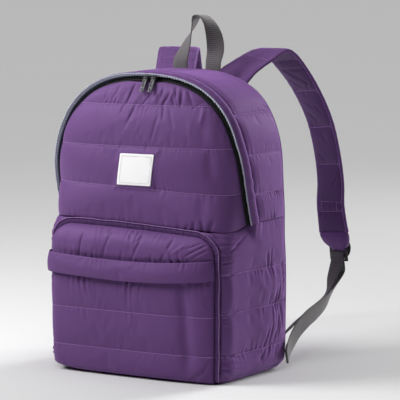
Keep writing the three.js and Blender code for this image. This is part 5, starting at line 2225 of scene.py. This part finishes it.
@dataclass
class Zip:
    """The arched zip: the lip over it, its tape and coil, two sliders and two pulls."""

    outline: Outline
    tape_back: tuple = (0.006, 0.0042)
    tape_front: tuple = (-0.0042, 0.009)
    tape_rows: int = 7
    tape_thick: float = 0.0009
    lip_left: tuple = (
        (0.0062, 0.0040), (0.0040, 0.0038), (0.0016, 0.0030), (-0.0010, 0.0020), (-0.0030, 0.0008),
        (-0.0042, -0.0004), (-0.0048, -0.0016), (-0.0042, -0.0026), (-0.0024, -0.0032), (0.0010, -0.0034),
        (0.0050, -0.0032), (0.0084, -0.0024), (0.0112, -0.0012), (0.0128, 0.0002), (0.0140, 0.0004),
        (0.0150, 0.0000),
    )
    lip_right: tuple = (
        (0.0062, 0.0040), (0.0030, 0.0038), (0.0002, 0.0034), (-0.0024, 0.0029), (-0.0040, 0.0024),
        (-0.0050, 0.0018), (-0.0055, 0.0010), (-0.0053, 0.0001), (-0.0040, -0.0016), (-0.0010, -0.0032),
        (0.0030, -0.0041), (0.0070, -0.0039), (0.0106, -0.0024), (0.0126, 0.0001), (0.0140, 0.0006),
        (0.0150, 0.0000),
    )
    lip_turn: tuple = (0.40, 0.62)
    lip_inside_rows: int = 3
    lip_edge_rows: int = 7
    lip_seams: tuple = (4, 6)
    lip_run_row: int = 8
    lip_seed: int = 81
    lip_wave: float = 0.00035
    lip_wave_lengths: tuple = (0.010, 0.03)
    lip_wave_start: float = 0.3
    seam_row: int = 13
    arch_steps: int = 260
    coil: ZipCoil = field(default_factory=ZipCoil)
    sliders: ZipSliders = field(default_factory=ZipSliders)

    def strip(self, profile: Sequence[tuple]) -> Array:
        """Rows of points round the arch.

        Args:
            profile: Depth behind the zip line and inset of each row.

        Returns:
            The grid, rows by places round the arch.
        """
        o = self.outline
        rows = []
        for behind, inset in profile:
            x, z = o.arch_line(inset, self.arch_steps).T
            rows.append(np.stack([x * o.spread(0.0, z), o.zip_line(z) + behind, z], axis=1))
        return SLUMP.settle(np.stack(rows))

    def make_lip(self) -> None:
        """Makes the folded lip: lining inside and on its edge, purple outside."""
        turn = smooth(*self.lip_turn, np.linspace(0.0, 1.0, self.arch_steps))[None, :, None]
        grid = lerp(self.strip(self.lip_left), self.strip(self.lip_right), turn)
        run = run_length(grid[self.lip_run_row])
        wave = self.lip_wave * Waves(self.lip_seed).along(run, *self.lip_wave_lengths)
        share = np.linspace(self.lip_wave_start, 1.0, len(grid))
        grid = grid + grid_normals(grid) * (wave[None] * share[:, None])[..., None]
        obj = grid_object("zip_lip_cloth", grid)
        for finish in (LINING, BOUND_EDGE, PURPLE):
            obj.data.materials.append(finish.material())
        columns = self.arch_steps - 1
        for polygon in obj.data.polygons:
            row = polygon.index // columns
            polygon.material_index = int(row >= self.lip_inside_rows) + int(row >= self.lip_edge_rows)
        soften(obj, 1)
        normals = grid_normals(grid)
        BODY_THREAD.sew(grid[self.seam_row], normals[self.seam_row])
        for row in self.lip_seams:
            EDGE_THREAD.sew(grid[row], normals[row])
        hand_over(obj, PURPLE, "zip_flap")

    def make_tape(self) -> None:
        """Makes the tape under the coil, and the coil."""
        front, back = np.array(self.tape_front), np.array(self.tape_back)
        grid = self.strip([lerp(front, back, s) for s in np.linspace(0.0, 1.0, self.tape_rows)])
        obj = grid_object("zip_tape_cloth", grid)
        thicken(obj, self.tape_thick, 0.0)
        hand_over(obj, TAPE, "main_zip")
        self.coil.make(grid)

    def make(self) -> None:
        """Makes every part of the zip."""
        self.make_lip()
        self.make_tape()
        (front, front_in), (back, back_in) = self.tape_front, self.tape_back
        foot = (0.0, self.outline.zip_y + front, self.outline.top - front_in)
        self.sliders.make(foot, math.atan2(front_in - back_in, back - front))


# Straps and webbing
class Stop(NamedTuple):
    """A place along a strap in millimetres, with the turn and lift of its width in degrees."""

    x: float
    y: float
    z: float
    turn: float
    lift: float
    width: float = 25.0

    def point(self) -> Array:
        """The place in metres."""
        return np.array((self.x, self.y, self.z)) / MILLIMETRES

    def across(self) -> Array:
        """Direction of the width."""
        return width_direction(self.turn, self.lift)


def width_direction(turn: float, lift: float) -> Array:
    """Width direction that starts along X, turns its outer end forward and then lifts it."""
    t, l = math.radians(turn), math.radians(lift)
    return np.array([math.cos(t) * math.cos(l), -math.sin(t) * math.cos(l), math.sin(l)])


def smooth_path(points: Array, steps: int, values: Array) -> Array:
    """A centripetal Catmull-Rom line through points.

    Args:
        points: The points to pass through.
        steps: Steps from one point to the next.
        values: What is carried along the line: the points themselves or other values.

    Returns:
        The values along the line.
    """
    p, q = with_ends(points), with_ends(values)
    t = np.linspace(0.0, 1.0, steps + 1)[:-1, None]
    lines = []
    for i in range(len(points) - 1):
        d0, d1, d2 = (max(np.linalg.norm(p[i + k + 1] - p[i + k]), TINY) ** 0.5 for k in range(3))
        a, b, c, d = q[i: i + 4]
        t1 = ((b - a) / d0 - (c - a) / (d0 + d1) + (c - b) / d1) * d1
        t2 = ((c - b) / d1 - (d - b) / (d1 + d2) + (d - c) / d2) * d1
        lines.append(b + t1 * t + (3 * c - 3 * b - 2 * t1 - t2) * t**2 + (2 * b - 2 * c + t1 + t2) * t**3)
    return np.concatenate([*lines, values[-1:]])


@dataclass
class Sweep:
    """Frames along a strap: middle, width direction, outward direction, run and width."""

    middle: Array
    across: Array
    out: Array
    run: Array
    width: Array

    HALF_BAND = ((-1, 0), (-0.99, 0.7), (-0.95, 1), (-0.5, 1), (0, 1), (0.5, 1), (0.95, 1), (0.99, 0.7))

    @classmethod
    def through(cls, points: Array, across: Array, width: Array, steps: int) -> "Sweep":
        """Frames along a smooth line.

        Args:
            points: Points in metres to pass through.
            across: Width direction at each point.
            width: Width at each point.
            steps: Steps from one point to the next.

        Returns:
            The frames.
        """
        middle = smooth_path(points, steps, points)
        along = unit(np.gradient(middle, axis=0))
        wide = square_to(smooth_path(points, steps, across), along)
        widths = smooth_path(points, steps, width[:, None])[:, 0]
        return cls(middle, wide, np.cross(wide, along), run_length(middle), widths)

    @classmethod
    def stops(cls, stops: Sequence[Stop], steps: int) -> "Sweep":
        """Frames through a table of stops."""
        points, across = (np.array([part(s) for s in stops]) for part in (Stop.point, Stop.across))
        return cls.through(points, across, np.array([s.width for s in stops]) / MILLIMETRES, steps)

    def evened(self, pitch: float) -> "Sweep":
        """The same frames at equal steps.

        Args:
            pitch: About how long a step is.

        Returns:
            The frames.
        """
        at = np.linspace(0.0, self.run[-1], int(self.run[-1] / pitch))
        middle, across, out = (at_run(v, self.run, at) for v in (self.middle, self.across, self.out))
        return Sweep(middle, unit(across), unit(out), at, np.interp(at, self.run, self.width))

    def ring(self, side: Array, off: Array) -> Array:
        """A line along the strap at a distance to the side of its middle and out from it."""
        return self.middle + self.across * side[:, None] + self.out * off[:, None]

    def band(self, thick: Array) -> Array:
        """Grid of a flat band with rounded edges, frames by places round it."""
        profile = [*self.HALF_BAND, *((-a, -b) for a, b in self.HALF_BAND)]
        return np.stack([self.ring(a * self.width / 2, b * thick / 2) for a, b in profile], axis=1)


HANDLE_STOPS = tuple(Stop(*row) for row in (
    (-25, 89, 419.6, 0, 0), (-25, 89, 432, 4, 0), (-18, 94, 456, 32, 0), (-9, 98, 481, 70, 0),
    (-3, 99, 497, 90, 0), (7, 99, 497, 90, 0), (18, 98, 487, 105, 0), (27, 96, 468, 132, 0),
    (31, 93, 448, 160, 0), (30, 89, 432, 178, 0), (29, 89, 419.6, 180, 0),
))
STRAP_STOPS = tuple(Stop(*row) for row in (
    (44, 98.4, 402, 0, -8, 60), (44, 103.4, 402, 2, -8, 60), (56, 126, 421, 14, -6, 60),
    (70, 154, 438, 12, -2, 60), (76, 166, 444, 12, 0, 60), (81, 177, 446, 12, 0, 60),
    (86, 188, 440, 13, 0, 60), (95, 208, 419, 16, 0, 59), (105, 231, 388, 20, 0, 58),
    (118, 248, 345, 22, 0, 57), (126.5, 257, 298, 22, 0, 56), (131.5, 261, 250, 20, 0, 55),
    (131.5, 261, 216, 17, 0, 54), (134, 262, 192, 15, 0, 54), (136, 264, 174, 12, 0, 54),
))
WEB_FOOT_STOPS = tuple(Stop(*row) for row in (
    (138, 86.8, 38, 0, 50), (138, 94.8, 38, 0, 50), (137, 122, 47.6, 6, 38), (135, 156, 57, 9, 32),
    (134.5, 198, 68, 11, 32), (135, 230, 78, 20, 33), (136, 250, 90, 36, 30), (137, 257, 107, 26, 14),
))
WEB_TAIL_STOPS = tuple(Stop(*row) for row in (
    (138, 277, 112, 20, 10), (140, 262, 95, 24, 40), (146, 226, 78, 18, 70), (149, 184, 67, 8, 88),
    (150.5, 152, 59.5, 0, 92), (151.5, 123, 48, 0, 90), (153.5, 99.5, 34, 0, 90), (157, 83, 24, 0, 90),
    (160, 73, 17.5, 0, 90),
))
# Distance down from the lock's top bar and out from its middle plane, in millimetres
WEB_IN_LOCK = (
    (19, -4.8), (10, -3.4), (6.8, -2.4), (5.6, 0), (4, 4.6), (-3, 6.6), (-8, 9.6), (-4, 13), (4, 13.4),
    (11, 9.6), (13.8, 4), (14, 0), (15.6, -2.1), (18, -2.7), (22, -2.3),
)


@dataclass
class GrabHandle:
    """Webbing loop on top, with a half twist."""

    thick: float = 0.0016
    steps: int = 16

    def make(self) -> None:
        """Makes the loop."""
        sweep = Sweep.stops(HANDLE_STOPS, self.steps)
        obj = grid_object("grab_handle_webbing", sweep.band(np.full(len(sweep.run), self.thick)), wrap=True)
        hand_over(obj, WEBBING, "grab_handle")


@dataclass
class LadderLock:
    """Moulded three-bar adjuster at the end of a strap."""

    place: tuple = (0.139, 0.2725, 0.150)
    turn: float = 16.0
    lean: float = 8.0
    width: float = 0.035
    depth: float = 0.003
    bar: float = 0.0032
    pitch: float = 0.009
    rail: float = 0.004
    edge: float = 0.0009
    edge_steps: int = 3
    slot_edge: float = 0.0007
    slot_depth: float = 0.02

    def axes(self) -> tuple:
        """Directions across, down and out of the lock.

        Returns:
            The three directions.
        """
        across = width_direction(self.turn, 0.0)
        lean, turn = math.radians(self.lean), -math.radians(self.turn)
        down = np.array([-math.sin(lean) * math.sin(turn), math.sin(lean) * math.cos(turn), -math.cos(lean)])
        return across, down, np.cross(across, down)

    def point(self, down: float, out: float) -> Array:
        """A point by its distance down from the top bar and out from the middle plane, in millimetres."""
        _, low, front = self.axes()
        return np.array(self.place) + low * down / MILLIMETRES + front * out / MILLIMETRES

    def make(self) -> None:
        """Models the lock once and places both."""
        size = (self.width, 2 * self.pitch + self.bar, self.depth)
        plate = Bench.block(Block(size, (0, self.pitch, 0), self.edge, self.edge_steps))
        size = (self.width - 2 * self.rail, self.pitch - self.bar, self.slot_depth)
        for k in (0, 1):
            slot = Bench.block(Block(size, (0, (k + 0.5) * self.pitch, 0), self.slot_edge))
            Bench.combine(plate, slot, "DIFFERENCE")
        turned = np.stack([*self.axes(), self.place], axis=1)
        plate.data.transform(Matrix([*turned.tolist(), (0, 0, 0, 1)]))
        for side in Side:
            name = f"ladder_lock_{side.name.lower()}"
            copy = Bench.copy(plate, f"{name}_moulding", Matrix.Scale(side.value, 4, (1, 0, 0)))
            hand_over(copy, MOULDING, name)
        bpy.data.objects.remove(plate)


STRAP_CREASES = (
    (-205, 152, 0.9, 2.2, 10, -2.0), (-192, 160, 0.7, 2.2, 10, -1.8), (-212, 168, 1.1, 2.2, 8, -1.8),
    (-188, 174, -0.6, 2.2, 8, -1.6), (-205, 206, 1.4, 2.2, 6, -1.7), (-190, 214, 0.5, 2.2, 8, -1.6),
    (-208, 226, 0.9, 2.2, 8, -1.6), (-196, 262, 0.6, 2.2, 8, -1.5), (-210, 290, 1.0, 2.2, 6, -1.5),
    (-188, 330, -0.8, 2.2, 7, -1.5), (-200, 142, 0.0, 26.0, 2.6, -1.6), (200, 142, 0.0, 26.0, 2.6, 0.9),
    (196, 72, 0.8, 2.6, 9, -2.2), (206, 90, 1.1, 2.6, 9, -2.2), (190, 106, 0.5, 2.6, 9, -2.0),
    (208, 114, 0.9, 2.4, 7, -2.0), (198, 42, 0.7, 2.8, 10, -1.8), (204, 130, -0.8, 2.4, 6, -1.7),
)


@dataclass
class StrapEdge:
    """Bound edge of a strap."""

    width: float = 0.0075
    thick: float = 0.0044
    inset: float = 0.36
    ring: int = 14
    square: float = 0.7
    seed: int = 95
    rough: float = 0.08
    rough_waves: tuple = (0.007, 0.02)
    seams: tuple = ((4, 11), (3, 10))

    def make(self, sweep: Sweep, side: Side, name: str, at: float) -> None:
        """Makes one edge and stitches it.

        Args:
            sweep: The right strap's frames.
            side: Which strap.
            name: Which edge.
            at: Place of the edge across the strap, from -1 to 1.
        """
        rough = 1 + self.rough * Waves(self.seed).along(sweep.run, *self.rough_waves)
        inside = at * (sweep.width / 2 - self.width * self.inset)
        lines = []
        for angle in np.linspace(0.0, 2 * np.pi, self.ring + 1)[:-1]:
            a, b = (math.copysign(abs(v) ** self.square, v) for v in (-math.cos(angle), math.sin(angle)))
            lines.append(sweep.ring(inside + a * self.width / 2, b * self.thick / 2 * rough))
        grid = mirrored(np.stack(lines, axis=1), side)
        obj = grid_object(f"strap_{side.name.lower()}_{name}_edge", grid, wrap=True)
        normals = grid_normals(grid, wrap=True)
        for column in self.seams[int(at > 0)]:
            BODY_THREAD.sew(grid[:, column], normals[:, column], 0.0)
        hand_over(obj, PURPLE)


@dataclass
class StrapTab:
    """Cloth tab at a strap's end, folded round the lock's top bar."""

    lock: LadderLock
    start: float = 0.002
    # Rise to the strap's end, then drop, width and half thickness in millimetres
    stations: tuple = (
        (1.12, 0.0, 53.6, 2.6), (1.02, 0.0, 53.8, 3.2), (0.93, 0.0, 53.6, 5.2), (0.8, 0.0, 52.5, 6.0),
        (0.6, 0.0, 50.5, 6.2), (0.4, 0.0, 48, 5.8), (0.2, 0.0, 42, 4.8), (0.0, 0.0, 30, 3.6),
        (0.0, 2.2, 26.5, 3.0), (0.0, 3.6, 26, 1.6), (0.0, 4.0, 25.6, 0.4),
    )
    half_profile: tuple = (
        (-1, 0), (-0.97, 0.6), (-0.88, 0.9), (-0.6, 1), (-0.3, 1), (0, 1), (0.3, 1), (0.6, 1), (0.88, 0.9),
        (0.97, 0.6),
    )
    seed: int = 97
    dent: float = 0.0003
    dent_run: float = 0.02
    dent_waves: tuple = (0.008, 0.02)
    fill: float = 0.3

    def make(self, sweep: Sweep, side: Side) -> None:
        """Makes the tab.

        Args:
            sweep: The right strap's frames.
            side: Which strap.
        """
        across, down, out = self.lock.axes()
        top = sweep.middle[-1] + down * self.start
        profile = np.array([*self.half_profile, *((-a, -b) for a, b in self.half_profile)])
        waves = Waves(self.seed)
        rings = []
        for rise, low, width, half in self.stations:
            middle = lerp(np.array(self.lock.place), top, rise) + down * low / MILLIMETRES
            wide = unit(lerp(across, sweep.across[-1], rise)) * width / 2 / MILLIMETRES
            dents = self.dent * waves.along(profile[:, 0] * self.dent_run, *self.dent_waves)
            off = profile[:, 1] * (half / MILLIMETRES + dents)
            rings.append(middle + profile[:, :1] * wide + off[:, None] * out)
        name = f"strap_tab_{side.name.lower()}"
        obj = grid_object(f"{name}_cloth", mirrored(np.array(rings), side), wrap=True)
        if faces_inward(obj):
            obj.data.flip_normals()
        soften(obj, 2)
        hand_over(obj, PURPLE, name)


@dataclass
class ShoulderStrap:
    """Padded strap with bound edges and rows of stitching across it, and the tab at its end."""

    lock: LadderLock
    edge: float = 0.003
    puff: float = 0.0026
    swell: tuple = (3.5, 0.6)
    rows: tuple = (0.0665, 0.125, 0.1837, 0.2449, 0.3023, 0.3596, 0.3746)
    steps: int = 10
    pitch: float = 0.0035
    across: int = 15
    held: float = 0.9
    cap: float = 0.005
    face_mark: float = 0.2
    half_mark: float = 0.028
    row_folds: Folds = Folds(91, 0.0009)
    folds_fade: tuple = (0.027, 0.020)
    seam_ends: tuple = ((2, -3), (1, -4))
    box_columns: tuple = (6, -8)
    binding: StrapEdge = field(default_factory=StrapEdge)
    quilt: Optional[Quilt] = None
    sweep: Optional[Sweep] = None
    row_index: Sequence[int] = ()
    limits: Sequence[float] = ()

    def plan(self) -> Quilt:
        """Lays the right strap's cloth over its filling.

        Returns:
            The quilt, ready to be filled.
        """
        sweep = self.sweep = Sweep.stops(STRAP_STOPS, self.steps).evened(self.pitch)
        at = sweep.run
        self.row_index = [int(np.argmin(np.abs(at - row))) for row in self.rows]
        self.limits = [0.0, *at[self.row_index], at[-1]]
        full = self.puff * fullness(at, self.limits)
        side = np.linspace(-1.0, 1.0, self.across)
        ring = [(a, 1.0) for a in side] + [(a, -1.0) for a in side[::-1]]
        power, root = self.swell
        lines = []
        for a, face in ring:
            off = face * (self.edge / 2 + full * (1 - abs(a) ** power) ** root)
            lines.append(sweep.ring(a * sweep.width / 2, off))
        grid = np.stack(lines, axis=1)
        edges = [k for k, (a, _) in enumerate(ring) if abs(a) > self.held]
        sewn = pinned(grid.shape[:2], [0, -1, *self.row_index], edges)
        across = np.array([a * self.half_mark + self.face_mark * face for a, face in ring])
        marks = np.stack(np.broadcast_arrays(across[None], at[:, None]), axis=2)
        self.quilt = Quilt("strap_right", grid, sewn, marks, self.creased, wrap=True, cap=self.cap)
        return self.quilt

    def creased(self, u: Array, v: Array) -> Array:
        """Height of the strap's creases at a place across one of its faces and along it."""
        total = pucker_rows(self.row_folds, u, v, self.limits) + creases(STRAP_CREASES, u, v)
        return total * smooth(*self.folds_fade, np.abs(np.abs(u) - self.face_mark))

    def dress(self) -> None:
        """Stitches and binds the right strap, mirrors it for the left and makes the tabs."""
        left = replace(self.quilt, node="strap_left", grid=mirrored(self.quilt.grid, Side.LEFT))
        for quilt in (self.quilt, left):
            self.sew(quilt)
            # The shoulder face takes the darker purple copy: painted shade.
            self.shade_inside(quilt.done(), quilt is left)
        tab = StrapTab(self.lock)
        for side in Side:
            for name, at in (("inner", -1.0), ("outer", 1.0)):
                self.binding.make(self.sweep, side, name, at)
            tab.make(self.sweep, side)

    def sew(self, quilt: Quilt) -> None:
        """Stitches across both faces of a strap and round the box at its end.

        Args:
            quilt: The settled strap.
        """
        grid, normals = quilt.grid, grid_normals(quilt.grid, True)
        face = 2 * self.across
        spans = [slice(k * face + a, (k + 1) * face + b) for k, (a, b) in enumerate(self.seam_ends)]
        for row in self.row_index:
            for span in spans:
                BODY_THREAD.sew(grid[2 * row, span], normals[2 * row, span])
        end = slice(2 * self.row_index[-2], 2 * self.row_index[-1] + 1)
        first, last = self.box_columns
        for column in (first, face + last, face + first, 2 * face + last):
            BODY_THREAD.sew(grid[end, column], normals[end, column])

    def shade_inside(self, obj: Object, turned: bool) -> None:
        """Gives the face of a strap that lies on the shoulder a darker copy of the purple cloth: painted
        shade, as the bag keeps the light off that face.

        Args:
            obj: The strap.
            turned: True if its faces run the other way round.
        """
        obj.data.materials.append(STRAP_SHADE.material())
        half = 2 * self.across
        for polygon in obj.data.polygons[:-2]:
            polygon.material_index = int((polygon.index % (2 * half) >= half) != turned)


@dataclass
class AdjusterWeb:
    """Webbing from the foot of the back through the lock to its folded free end."""

    lock: LadderLock
    width: float = 0.025
    thick: float = 0.0014
    hem: float = 0.014
    hem_step: float = 0.001
    hem_thick: float = 0.003
    steps: int = 8

    def make(self) -> None:
        """Makes both webs."""
        across = self.lock.axes()[0]
        parts = [(stop.point(), stop.across()) for stop in WEB_FOOT_STOPS]
        parts += [(self.lock.point(down, out), across) for down, out in WEB_IN_LOCK]
        parts += [(stop.point(), stop.across()) for stop in WEB_TAIL_STOPS]
        points, wide = (np.array([part[k] for part in parts]) for k in range(2))
        sweep = Sweep.through(points, wide, np.full(len(points), self.width), self.steps)
        end = sweep.run[-1] - sweep.run
        grid = sweep.band(lerp(self.hem_thick, self.thick, smooth(self.hem - self.hem_step, self.hem, end)))
        for side in Side:
            name = f"web_{side.name.lower()}"
            obj = grid_object(f"{name}_webbing", mirrored(grid, side), wrap=True)
            hand_over(obj, ADJUSTER, name)


# Studio
class AreaLight(NamedTuple):
    """A rectangular light: name, place, width and height, and power in watts."""

    name: str
    place: tuple
    size: tuple
    watts: float


class SunLight(NamedTuple):
    """Even light from one direction: name, direction, strength, width in degrees, shown in gloss or not."""

    name: str
    place: tuple
    strength: float
    degrees: float
    glare: bool


@dataclass
class Studio:
    """Plain floor, soft lights and the camera at the photo's angle."""

    location: tuple = (1.4853, -2.3725, 0.5298)
    target: tuple = (0.0609, 0.0, 0.2419)
    lens: float = 179.1
    sensor: float = 36.0
    sight: float = 1000.0
    floor: float = 900.0
    middle: tuple = (0.0, 0.0, 0.3)
    areas: tuple = (
        AreaLight("key_left", (-1.05, -0.8, 1.3), (0.8, 1.0), 31.0),
        AreaLight("rim_right", (0.5, 2.6, 1.2), (0.9, 0.8), 9.0),
    )
    suns: tuple = (
        SunLight("side_right", (0.26, 0.93, 0.24), 5.2, 24.0, False),
        SunLight("top_soft", (0.0, 0.0, 3.0), 1.25, 60.0, True),
    )
    sky: tuple = (0.9, 0.9, 0.92, 1.0)
    sky_strength: float = 0.035

    def stand(self, data: ID, place: tuple, aim: tuple) -> Object:
        """Stands a light or camera at a place and points it.

        Args:
            data: The light or camera.
            place: Where it stands.
            aim: What it points at.

        Returns:
            The object.
        """
        obj = add_object(data.name, data)
        obj.location = place
        obj.rotation_euler = (Vector(aim) - Vector(place)).to_track_quat("-Z", "Y").to_euler()
        return obj

    def light(self) -> None:
        """Hangs the lights and sets the sky."""
        for area in self.areas:
            data = bpy.data.lights.new(area.name, "AREA")
            data.shape = "RECTANGLE"
            data.size, data.size_y = area.size
            data.energy = area.watts
            self.stand(data, area.place, self.middle)
        for sun in self.suns:
            data = bpy.data.lights.new(sun.name, "SUN")
            data.energy = sun.strength
            data.angle = math.radians(sun.degrees)
            self.stand(data, sun.place, (0.0, 0.0, 0.0)).visible_glossy = sun.glare
        world = bpy.context.scene.world or bpy.data.worlds.new("studio")
        bpy.context.scene.world = world
        world.use_nodes = True
        background = world.node_tree.nodes["Background"]
        background.inputs["Color"].default_value = self.sky
        background.inputs["Strength"].default_value = self.sky_strength

    def make(self) -> None:
        """Makes the floor, lights and camera."""
        Bench.clear()
        bpy.ops.mesh.primitive_plane_add(size=self.floor)
        floor = bpy.context.object
        floor.name = "studio_floor"
        floor.data.materials.append(FLOOR.material())
        self.light()
        camera = bpy.data.cameras.new("camera")
        camera.lens = self.lens
        camera.sensor_width = self.sensor
        camera.clip_end = self.sight
        bpy.context.scene.camera = self.stand(camera, self.location, self.target)
        bpy.context.scene.view_settings.view_transform = "Standard"


def main() -> None:
    """Builds and dresses every part of the bag, then the studio."""
    logging.basicConfig(level=logging.INFO, format="%(name)s: %(message)s")
    outline = Outline()
    lock = LadderLock()
    front, gusset = FrontPanel(outline), UpperGusset(outline)
    strip, back = LowerStrip(outline), BackPanel(outline)
    pocket, strap, label = Pocket(outline), ShoulderStrap(lock), Label(outline)
    SewingRoom.run([front.plan(), gusset.plan(), strip.plan(), back.plan(), *pocket.plan(), strap.plan()])
    label.press(front.quilt)
    for part in (front, gusset, strip, back, pocket, strap):
        part.dress()
    for part in (LowerFront(outline), label, Zip(outline), GrabHandle(), lock, AdjusterWeb(lock)):
        part.make()
    for part in (BODY_THREAD, EDGE_THREAD, BINDING_THREAD, PATCH_THREAD, Studio()):
        part.make()


if __name__ == "__main__":
    main()
